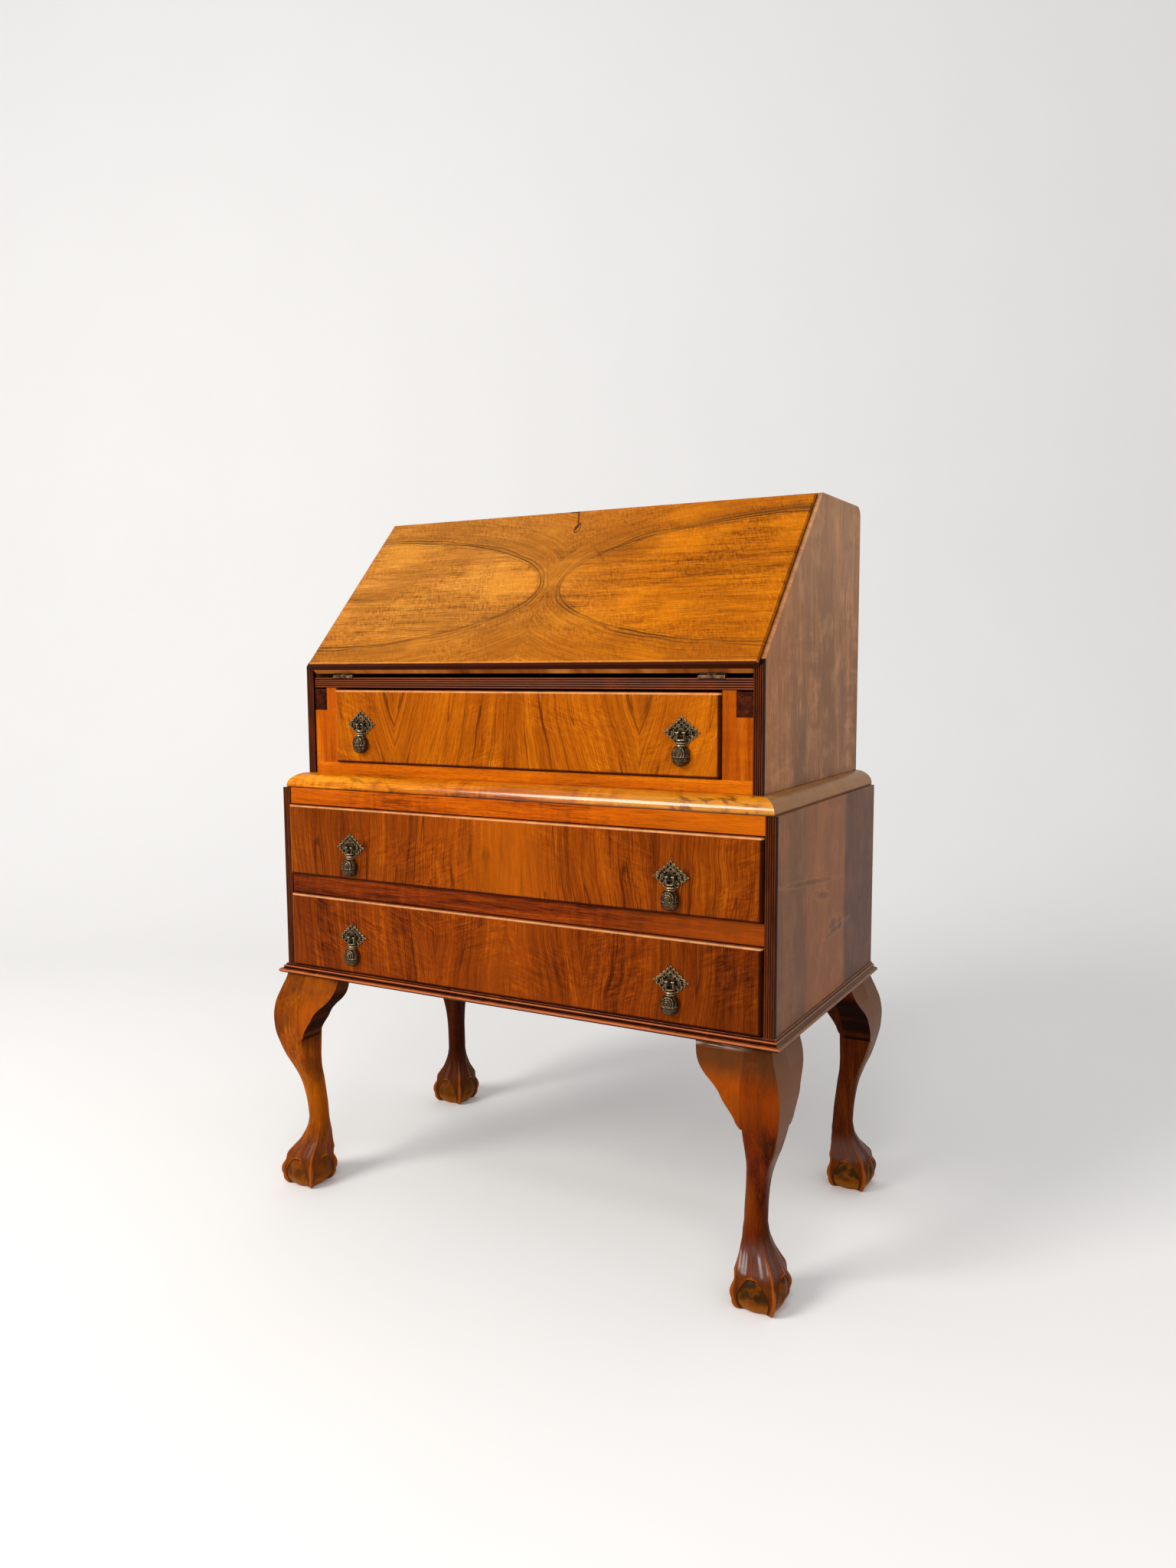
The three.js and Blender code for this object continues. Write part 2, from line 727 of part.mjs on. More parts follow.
// A half-round ball drop with collar rings and a flat back, hung on the post by a yoke
function handleDrop(x, z, front) {
  const back = front - plateThickness - dropClearance;
  const y = front - plateThickness - postStandoff;
  const half = yokeSpread / 2;
  const pin = barAlongX(yokeRadius, y, z, x - half - yokeRadius, x + half + yokeRadius, wireSides);
  const armZs = [z - yokeDrop - yokeSeat, z + yokeRadius];
  const arms = hands.map(([, sign]) => {
    const start = Math.PI / wireSides;
    const ring = arc(x + sign * half, y, yokeRadius, yokeRadius, start, start + 2 * Math.PI, wireSides);
    return prism("z", ring.slice(0, wireSides), armZs[0], armZs[1]);
  });
  const ballTop = yokeDrop + collarHeight;
  const profile = [
    ...collarShares.map(([r, up]) => [r * collarRadius, -ballTop + up * collarHeight]),
    ...ballShares.slice(1).map(([r, up]) => [r * ballRadius, -ballTop - (1 - up) * ballHeight]),
  ];
  const points = profile.reverse().map(([r, up]) => new THREE.Vector2(r, up));
  const turned = new THREE.LatheGeometry(points, dropSides);
  turned.rotateX(Math.PI / 2);
  turned.translate(x, back, z);
  const behind = board(
    [x - plateWidth, x + plateWidth],
    [back, back + 2 * ballRadius],
    [z - ballTop - ballHeight - overrun, z + overrun],
  );
  return join(cut(solid(turned), behind), pin, ...arms);
}

function buildHandles(name, z, front) {
  for (const [hand, sign] of hands) {
    piece(`${name}_plate_${hand}`, handlePlate(sign * handleOffset, z, front), "bronze");
    piece(`${name}_drop_${hand}`, handleDrop(sign * handleOffset, z, front), "bronze");
  }
}

function buildDrawers() {
  const upperFront = -(upperDepth - upperSetback) - frontProud;
  const lowerFront = -lowerDepth - frontProud;
  const drawers = [
    ["drawer_1", stileInside, [drawerOneBottom, openFallUnderside], upperFront, upperDrawerDepth, upperHandleRise],
    ["drawer_2", lowerInside, [midRailTop, friezeBottom], lowerFront, lowerDrawerDepth, -middleHandleDrop],
    ["drawer_3", lowerInside, [lowerBottom, midRailBottom], lowerFront, lowerDrawerDepth, 0],
  ];
  for (const [name, opening, [low, high], front, depth, rise] of drawers) {
    const zs = [low + touchGap, high - drawerGap];
    buildDrawer(name, opening - drawerGap, zs, front, depth);
    buildHandles(name, (zs[0] + zs[1]) / 2 + rise, front);
  }
}

// Pigeonhole rack: two ends, a shelf, two full dividers and small dividers above the shelf
function buildRack() {
  const half = upperInside - 2 * touchGap;
  const ys = [-backThickness - touchGap - rackDepth, -backThickness - touchGap];
  const zs = [boardTop, topUnderside - rackTopGap];
  const shelfZ = boardTop + rackShelfHeight;
  const upright = (x, thickness, low, high) => board([x - thickness / 2, x + thickness / 2], ys, [low, high]);
  const parts = [
    board([-half, -half + rackBoard], ys, zs),
    board([half - rackBoard, half], ys, zs),
    board([-half, half], ys, [shelfZ, shelfZ + rackBoard]),
    board([-half, half], ys, [zs[1] - rackBoard, zs[1]]),
    upright(-rackBayWidth / 2, rackDivider, zs[0], zs[1]),
    upright(rackBayWidth / 2, rackDivider, zs[0], zs[1]),
  ];
  const bayMiddle = (rackBayWidth / 2 + half) / 2;
  for (const [, sign] of hands) parts.push(upright(sign * bayMiddle, rackDivider, shelfZ, zs[1]));
  piece("pigeonhole_rack", join(...parts), "inside");
}

// The leg's curve from the top down: shares of the leg's height, how far out its outer face lies
// and how far in its inner face lies, as shares of the knee's reach and of the ankle's inset,
// then how square the section is on the outer diagonal and across it
const legShares = [
  [1, -0.12, 1.47, 40, 40],
  [0.975, 0.02, 1.46, 40, 40],
  [0.92, 0.46, 1.42, 40, 40],
  [0.86, 0.86, 1.35, 40, 30],
  [0.8, 1, 1.26, 36, 20],
  [0.74, 0.93, 1.2, 30, 14],
  [0.675, 0.66, 1.2, 14, 8],
  [0.613, 0.29, 1.2, 8, 5],
  [0.552, -0.22, 1.225, 5, 3.6],
  [0.49, -0.64, 1.31, 3.6, 2.8],
  [0.43, -0.85, 1.385, 2.7, 2.3],
  [0.368, -0.97, 1.46, 2.2, 2.1],
  [0.307, -1.02, 1.5, 2, 2],
];

// The foot from the ankle down: shares of the claw's height, of the way from the ankle's inset to
// the foot's, of the claw's radius on the diagonals, and of the ball's radius on the faces, on
// their flanks and at the webs beside the claws
const footShares = [
  [0.9, 0.02, 0.41, 0.475, 0.46, 0.46],
  [0.8, 0.1, 0.46, 0.55, 0.51, 0.51],
  [0.68, 0.3, 0.55, 0.65, 0.59, 0.585],
  [0.58, 0.58, 0.68, 0.76, 0.69, 0.68],
  [0.5, 0.78, 0.755, 0.85, 0.79, 0.77],
  [0.44, 0.9, 0.82, 0.92, 0.87, 0.84],
  [0.415, 0.92, 0.85, 0.84, 0.9, 0.87],
  [0.36, 0.96, 0.905, 0.93, 0.87, 0.92],
  [0.28, 1, 0.96, 0.99, 0.95, 0.95],
  [0.2, 1, 0.985, 1, 0.97, 0.95],
  [0.12, 1, 0.96, 0.96, 0.93, 0.91],
  [0.04, 1, 0.87, 0.84, 0.82, 0.8],
  [0, 1, 0.77, 0.72, 0.7, 0.69],
];

// Directions of the points round a section in one quarter turn, in degrees from a face, and the
// part of the foot that each one meets
const sectionTurns = [0, 18, 34, 45, 56, 72];
const footParts = ["face", "flank", "web", "claw", "web", "flank"];

// One quarter of a leg's section, turned round four times
function sectionAngles() {
  const angles = [];
  for (let quarter = 0; quarter < 4; quarter += 1) {
    for (const turn of sectionTurns) angles.push((quarter * 90 + turn) * Math.PI / 180);
  }
  return angles;
}

// Levels of the leg and foot, each with its height, its middle and a radius for each direction
// The middle and the faces are measured outwards from the case's corner on both axes
function legLevels() {
  const angles = sectionAngles();
  const levels = legShares.map(([up, outer, inner, sharp, soft]) => {
    const out = outer * kneeReach;
    const back = -inner * ankleInset;
    const middle = (out + back) / 2;
    const half = (out - back) / 2;
    const radii = angles.map((angle) => {
      const across = 0.5 - 0.5 * Math.sin(2 * angle);
      const power = sharp + (soft - sharp) * across;
      const sum = Math.abs(Math.cos(angle)) ** power + Math.abs(Math.sin(angle)) ** power;
      return half / sum ** (1 / power);
    });
    return { z: up * legHeight, middle, radii };
  });
  for (const [up, way, claw, face, flank, web] of footShares) {
    const middle = -ankleInset + way * (ankleInset - footInset);
    const radius = {
      face: face * footBallRadius,
      flank: flank * footBallRadius,
      web: web * footBallRadius,
      claw: claw * clawRadius,
    };
    const radii = angles.map((_, i) => radius[footParts[i % footParts.length]]);
    levels.push({ z: up * clawHeight, middle, radii });
  }
  return levels;
}

// Skin over the levels, closed at the top and bottom
function loft(levels, count) {
  const position = [];
  for (const { z, middle, radii } of levels) {
    sectionAngles().forEach((angle, i) => {
      position.push(middle + radii[i] * Math.cos(angle), middle + radii[i] * Math.sin(angle), z);
    });
  }
  const index = [];
  for (let k = 0; k + 1 < levels.length; k += 1) {
    for (let i = 0; i < count; i += 1) {
      const j = (i + 1) % count;
      const [a, b, c, d] = [k * count + i, k * count + j, (k + 1) * count + j, (k + 1) * count + i];
      index.push(a, d, b, b, d, c);
    }
  }
  const caps = [levels[0], levels[levels.length - 1]];
  caps.forEach(({ z, middle }, which) => {
    const hub = position.length / 3;
    position.push(middle, middle, z);
    const start = which === 0 ? 0 : (levels.length - 1) * count;
    for (let i = 0; i < count; i += 1) {
      const j = (i + 1) % count;
      if (which === 0) index.push(hub, start + i, start + j);
      else index.push(hub, start + j, start + i);
    }
  });
  const geometry = new THREE.BufferGeometry();
  geometry.setAttribute("position", new THREE.BufferAttribute(new Float32Array(position), 3));
  geometry.setIndex(index);
  return solid(geometry);
}

// Lower outline of an ear: shares of the ear's width in from the corner, and of the leg's height
const earShares = [
  [1, 1], [0.99, 0.98], [0.97, 0.95], [0.92, 0.918], [0.84, 0.89], [0.73, 0.862], [0.63, 0.83],
  [0.575, 0.8], [0.5, 0.77], [0.435, 0.74], [0.4, 0.715], [0.36, 0.7],
];

// The knee's front, as [how far out, height], from the top of the leg to below the ear
function kneeCurve() {
  const [, lowest] = earShares[earShares.length - 1];
  const below = legShares.findIndex(([up]) => up < lowest);
  return legShares.slice(0, below + 1).map(([up, outer]) => [outer * kneeReach, up * legHeight]);
}

// An ear runs from the leg along the case, with the knee's curve on its outer face
// It is drawn here along -x, and its outer face looks along +y
function ear() {
  const top = legHeight;
  const under = earShares.map(([inward, up]) => [-inward * earWidth, up * legHeight]);
  const [, foot] = under[under.length - 1];
  const outline = [...under, [-ankleInset / 2, foot], [-ankleInset / 2, top]];
  const face = kneeCurve();
  const low = face[face.length - 1];
  const section = [...face, [low[0] - earThickness, low[1]], [-earThickness, top]];
  const front = prism("y", outline, -earWidth, earWidth);
  const side = prism("x", section, -earWidth - overrun, overrun);
  return front.intersect(side);
}

function buildLegs() {
  const core = loft(legLevels(), sectionAngles().length);
  const one = ear();
  const other = one.mirror([1, -1, 0]);
  const leg = join(core, one, other);
  const corners = [
    ["leg_front_left", -1, -1],
    ["leg_front_right", 1, -1],
    ["leg_rear_left", -1, 1],
    ["leg_rear_right", 1, 1],
  ];
  for (const [name, sx, sy] of corners) {
    const x = sx * lowerWidth / 2;
    const y = sy < 0 ? -lowerDepth - frontLegForward : 0;
    let body = leg;
    if (sx < 0) body = body.mirror([1, 0, 0]);
    if (sy < 0) body = body.mirror([0, 1, 0]);
    piece(name, body.translate([x, y, 0]), "leg");
  }
}

buildLegs();
buildBottomBoard();
buildLowerCase();
buildWaistBoard();
buildUpperCase();
buildWritingBoard();
buildLopers();
buildFall();
buildFallHinges();
buildLock();
buildDrawers();
buildRack();

// Centre the footprint on the origin
const extent = new THREE.Box3().setFromObject(bureau);
bureau.position.y = -(extent.min.y + extent.max.y) / 2;

export default bureau;
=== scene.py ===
from math import atan2, cos, pi, radians, sin, sqrt, tan

import bmesh
import bpy
import numpy as np
from mathutils import Matrix, Vector


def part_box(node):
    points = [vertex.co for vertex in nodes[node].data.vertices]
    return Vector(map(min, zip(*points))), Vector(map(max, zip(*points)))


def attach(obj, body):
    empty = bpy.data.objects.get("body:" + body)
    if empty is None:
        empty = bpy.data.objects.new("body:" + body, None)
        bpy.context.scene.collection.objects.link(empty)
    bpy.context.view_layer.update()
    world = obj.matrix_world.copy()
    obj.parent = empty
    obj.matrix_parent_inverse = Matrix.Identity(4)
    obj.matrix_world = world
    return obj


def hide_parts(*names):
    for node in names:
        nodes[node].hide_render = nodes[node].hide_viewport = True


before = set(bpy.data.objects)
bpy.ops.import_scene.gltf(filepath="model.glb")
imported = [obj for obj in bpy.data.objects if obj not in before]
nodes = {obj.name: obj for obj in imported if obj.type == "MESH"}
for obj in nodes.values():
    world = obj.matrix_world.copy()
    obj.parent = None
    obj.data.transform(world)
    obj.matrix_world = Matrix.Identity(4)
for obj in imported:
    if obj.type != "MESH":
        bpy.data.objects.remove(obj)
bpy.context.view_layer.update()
MM = 0.001


def span(node):
    """Lowest and highest x, y and z of a CAD node, in metres."""
    return [[float(v) for v in end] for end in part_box(node)]


base_low, base_high = span("bottom_board")
waist_low, waist_high = span("waist_board")
HALF, BACK, _ = span("lower_side_right")[1]
FRONT = span("lower_strip_right")[0][1]
UPPER_FRONT = span("upper_strip_right")[0][1]
LEG_TOP = base_low[2]
# The fall's lower edge, as depth and height, and its slope, as rise and run
SLOPE_START = (UPPER_FRONT, 0.777)
SLOPE = atan2(224, 213)

# Meshes


def placed(name, data):
    """A new object in the scene."""
    made = bpy.data.objects.new(name, data)
    bpy.context.scene.collection.objects.link(made)
    return made


def mesh_of(name, points, faces):
    mesh = bpy.data.meshes.new(name)
    mesh.from_pydata(points, [], faces)
    return mesh


class Shape:
    """Points and faces of one piece, gathered from closed solids."""

    def __init__(self):
        self.points, self.faces, self.relief = [], [], []

    def add(self, points, faces, relief=0):
        start = len(self.points)
        self.points += [tuple(p) for p in points]
        self.faces += [tuple(start + i for i in face) for face in faces]
        self.relief += list(np.broadcast_to(relief, len(points)))
        return self

    def loft(self, rings, relief=0):
        """Skin over rings of equal length, closed at both ends."""
        rings = [list(map(tuple, ring)) for ring in rings]
        n = len(rings[0])
        faces = []
        for k in range(len(rings) - 1):
            for i in range(n):
                j = (i + 1) % n
                faces.append((k * n + i, k * n + j, (k + 1) * n + j, (k + 1) * n + i))
        faces.append(tuple(reversed(range(n))))
        faces.append(tuple(range((len(rings) - 1) * n, len(rings) * n)))
        return self.add([p for ring in rings for p in ring], faces, relief)

    def tube(self, path, radii, sides, relief):
        """A round bar along a path."""
        path = [Vector(p) for p in path]
        rings = []
        up = Vector((0, 0, 1))
        for i, p in enumerate(path):
            way = (path[min(i + 1, len(path) - 1)] - path[max(i - 1, 0)]).normalized()
            across = way.cross(up if abs(way.z) < 0.9 else Vector((1, 0, 0))).normalized()
            other = way.cross(across)
            turns = [2 * pi * k / sides for k in range(sides)]
            rings.append([p + radii[i] * (cos(a) * across + sin(a) * other) for a in turns])
        return self.loft(rings, relief)

    def bead(self, centre, radius, relief):
        """A small ball."""
        rows, sides = 4, 8
        turns = [2 * pi * i / sides for i in range(sides)]
        x, y, z = centre
        rings = []
        for k in range(rows + 1):
            a = pi * (k + 0.02) / (rows + 0.04)
            reach, up = radius * sin(a), radius * cos(a)
            rings.append([(x + reach * cos(t), y + reach * sin(t), z + up) for t in turns])
        return self.loft(rings, relief)

    def piece(self, name, body, material, slot, replaced, smooth):
        """Makes an object that rides on a body, stands for CAD nodes and is smooth up to an angle."""
        mesh = mesh_of(name, self.points, self.faces)
        mesh.validate()
        attribute = mesh.attributes.new("relief", "FLOAT", "POINT")
        attribute.data.foreach_set("value", np.array(self.relief, np.float32))
        for polygon in mesh.polygons:
            polygon.use_smooth = True
        mesh.set_sharp_from_angle(angle=radians(smooth))
        turn_outwards(mesh)
        mesh.materials.append(material)
        made = placed(name, mesh)
        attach(made, body)
        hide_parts(*replaced)


def turn_outwards(mesh):
    """Makes the faces of each closed shell look outwards."""
    work = bmesh.new()
    work.from_mesh(mesh)
    bmesh.ops.recalc_face_normals(work, faces=work.faces)
    work.to_mesh(mesh)
    work.free()


def bevel(board, width):
    """Welds a board and rounds its edges, with modifiers."""
    weld = board.modifiers.new("weld", "WELD")
    weld.merge_threshold = 0.01 * MM
    edge = board.modifiers.new("edge", "BEVEL")
    edge.width = width
    edge.segments = 2
    edge.limit_method = "ANGLE"
    edge.angle_limit = radians(30)
    edge.use_clamp_overlap = True


def smooth_curve(rows, steps):
    """A smooth curve through rows of numbers, without overshoot."""
    rows = np.array(rows, float)
    n = len(rows)
    slopes = np.zeros_like(rows)
    for i in range(1, n - 1):
        before, after = rows[i] - rows[i - 1], rows[i + 1] - rows[i]
        same = before * after > 0
        slopes[i] = np.where(same, 2 * before * after / np.where(same, before + after, 1), 0)
    slopes[0], slopes[-1] = rows[1] - rows[0], rows[-1] - rows[-2]
    out = []
    for i in range(n - 1):
        for k in range(steps):
            t = k / steps
            a, b = 2 * t**3 - 3 * t**2 + 1, t**3 - 2 * t**2 + t
            c, d = -2 * t**3 + 3 * t**2, t**3 - t**2
            out.append(a * rows[i] + b * slopes[i] + c * rows[i + 1] + d * slopes[i + 1])
    out.append(rows[-1])
    return np.array(out)


# Materials


def tint(red, green, blue):
    """A colour given as the picture shows it, 0 to 255."""
    def linear(c):
        c /= 255
        return c / 12.92 if c <= 0.04045 else ((c + 0.055) / 1.055) ** 2.4
    return (linear(red), linear(green), linear(blue), 1)


def operator(operation, swapped=False):
    """A method of Num that makes one Math node."""
    def method(self, *others):
        values = (self, *others)
        return self.graph.math(operation, *(values[::-1] if swapped else values))
    return method


class Num:
    """A number that varies over a surface."""

    __add__, __radd__ = operator("ADD"), operator("ADD", True)
    __sub__, __rsub__ = operator("SUBTRACT"), operator("SUBTRACT", True)
    __mul__, __rmul__ = operator("MULTIPLY"), operator("MULTIPLY", True)
    __truediv__, __pow__, __abs__ = operator("DIVIDE"), operator("POWER"), operator("ABSOLUTE")

    def __init__(self, graph, socket):
        self.graph, self.socket = graph, socket

    def __neg__(self):
        return self * -1

    def above(self, low, high):
        """0 below low, 1 above high, and smooth between them."""
        inputs = {"Value": self, "From Min": low, "From Max": high}
        made = self.graph.node("MapRange", inputs, interpolation_type="SMOOTHSTEP")
        return Num(self.graph, made.outputs["Result"])

    def below(self, low, high):
        """1 below low, 0 above high."""
        return 1 - self.above(low, high)

    def near(self, place, width):
        """1 at a place, 0 further than a width from it."""
        return abs(self - place).below(0, width)


class Graph:
    """The node tree of one material. Its colours are red, green and blue as the picture shows them."""

    def __init__(self, name):
        self.material = bpy.data.materials.new(name)
        self.material.use_nodes = True
        self.tree = self.material.node_tree
        self.tree.nodes.clear()

    def node(self, kind, inputs=(), **settings):
        """A node with its settings, and with its inputs linked or set by name or number."""
        made = self.tree.nodes.new("ShaderNode" + kind)
        for key, value in settings.items():
            setattr(made, key, value)
        for key, value in dict(inputs).items():
            if isinstance(value, Num):
                value = value.socket
            if isinstance(value, bpy.types.NodeSocket):
                self.tree.links.new(value, made.inputs[key])
            else:
                made.inputs[key].default_value = tint(*value) if isinstance(value, tuple) else value
        return made

    def math(self, operation, *values):
        return Num(self, self.node("Math", enumerate(values), operation=operation).outputs[0])

    def place(self, output="Object"):
        """The point on the surface, or the way it faces, as x, y and z."""
        split = self.node("SeparateXYZ", {0: self.node("TexCoord").outputs[output]})
        return [Num(self, socket) for socket in split.outputs]

    def relief(self):
        """How proud the surface stands, as its piece says."""
        return Num(self, self.node("Attribute", attribute_name="relief").outputs["Fac"])

    def noise(self, a, b, c, detail=2, rough=0.5, distortion=0):
        place = self.node("CombineXYZ", enumerate((a, b, c))).outputs[0]
        inputs = {"Vector": place, "Scale": 1, "Detail": detail, "Roughness": rough, "Distortion": distortion}
        return Num(self, self.node("TexNoise", inputs).outputs["Fac"])

    def mix(self, amount, first, second, kind="MIX"):
        inputs = {0: amount, 6: first, 7: second}
        return self.node("Mix", inputs, data_type="RGBA", blend_type=kind, clamp_factor=True).outputs[2]

    def choose(self, amount, first, second):
        """A number that goes from first to second."""
        return first + (second - first) * amount

    def ramp(self, value, stops):
        """A colour that goes through stops, each a place and a colour."""
        made = self.node("ValToRGB", {0: value})
        line = made.color_ramp
        line.interpolation = "EASE"
        while len(line.elements) < len(stops):
            line.elements.new(0.5)
        for element, (place, colour) in zip(line.elements, stops):
            element.position = place
            element.color = tint(*colour)
        return made.outputs[0]

    def shade(self, colour, rough, height=None, depth=0, metal=0, level=0.5, coat=0, coat_rough=0.15):
        """The surface, with a bump of some depth where a height is given."""
        inputs = {
            "Base Color": colour, "Roughness": rough, "Metallic": metal, "Specular IOR Level": level,
            "Coat Weight": coat, "Coat Roughness": coat_rough,
        }
        if height is not None:
            bumps = self.node("Bump", {"Strength": 0.6, "Distance": depth, "Height": height})
            inputs["Normal"] = bumps.outputs[0]
        surface = self.node("BsdfPrincipled", inputs)
        self.node("OutputMaterial", {0: surface.outputs[0]})
        return self.material


def surface(name):
    """A new material's graph, and the place on its surface."""
    g = Graph(name)
    return g, *g.place()


class Layers:
    """A colour, and the colours laid over it."""

    def __init__(self, graph, colour):
        self.graph, self.colour = graph, colour

    def __call__(self, amount, shade, kind="MIX"):
        self.colour = self.graph.mix(amount, self.colour, shade, kind)


def grain(g, u, v, w, seed, wander=0.012, fine=1):
    """Walnut's grain, from a coordinate along it and two across it, as numbers from 0 to 1."""
    sway = g.noise(u * 2.6 + seed, v * 6, w * 6)
    v = (v + (sway - 0.5) * wander * 2) * fine
    return {
        "broad": g.noise(u * 1.8 + seed, v * 17, w * 17),
        "streak": g.noise(u * 4.5 + seed, v * 105, w * 105, 4, 0.66),
        "fibre": g.noise(u * 26, v * 620, w * 620 + seed, 2, 0.6),
        "pore": g.noise(u * 120 + seed, v * 1500, w * 1500, 0).above(0.6, 0.72),
        "line": g.noise(u * 1.5, v * 30 + seed, w * 30, 1).near(0.5, 0.018),
        "ripple": g.noise(u * 80 + seed, v * 20, w * 20, 2, 0.5, 0.6),
        "cloud": g.noise(u * 6, v * 9 + seed, w * 9),
        "patch": g.noise(u * 7 + seed, v * 7, w * 7 + 9, 1).above(0.42, 0.62),
    }


def lacquered(g, made, stops, marks, lines=0.3, ripple=0.3, rough=0.32, level=0.04, coat=0,
              coat_rough=0.15, shares=(0.34, 0.42, 0.24), cloud=0.4, contrast=2.6):
    """Polished wood from its grain: colours by tone, dark growth lines, pores, a ripple figure and marks."""
    tone = made["broad"] * shares[0] + made["streak"] * shares[1] + made["fibre"] * shares[2]
    tone = (tone - 0.5) * contrast + 0.5 + (made["cloud"] - 0.5) * cloud
    curl = (made["ripple"] - 0.5) * made["patch"] * ripple * 3
    lay = Layers(g, g.ramp(tone + curl, stops))
    lay(made["line"] * lines, stops[0][1])
    lay(made["pore"] * 0.5, stops[0][1])
    marks(lay)
    height = made["streak"] * 0.4 - made["pore"] * 0.8 - made["fibre"] * 0.2
    gloss = rough + (made["streak"] - 0.5) * 0.12 + made["pore"] * 0.1
    return g.shade(lay.colour, gloss, height, 0.05 * MM, level=level, coat=coat, coat_rough=coat_rough)


def drift(lay, x, stops, left, right):
    """Makes the ends in x paler by an amount, or darker where it is below 0."""
    for place, amount in ((x.below(-0.36, -0.08), left), (x.above(0.08, 0.36), right)):
        if amount:
            lay(place * abs(amount), stops[3 if amount > 0 else 0][1])


def plain_wood(name, along, stops, seed, left=0, right=0, lines=0.25, ripple=0.1, **options):
    """Wood whose grain runs straight along one axis."""
    g, x, y, z = surface(name)
    u, v, w = {"x": (x, y, z), "y": (y, x, z), "z": (z, x, y)}[along]

    def marks(lay):
        drift(lay, x, stops, left, right)

    return lacquered(g, grain(g, u, v, w, seed), stops, marks, lines, ripple, **options)


def inner_wood(g, made):
    """Plain brown wood, for what shows when the fall is open."""
    tone = (made["streak"] * 0.5 + made["fibre"] * 0.5 - 0.5) * 2.4 + 0.5
    return g.ramp(tone, stops_of((92, 42, 12), (146, 78, 26), (168, 96, 36), (192, 120, 54)))


def distance(a, b):
    return (a * a + b * b) ** 0.5


def stops_of(*colours):
    """Stops from dark to pale."""
    return list(zip((0.14, 0.4, 0.58, 0.84), colours))


DARK = stops_of((22, 7, 3), (46, 16, 6), (70, 26, 9), (102, 46, 18))


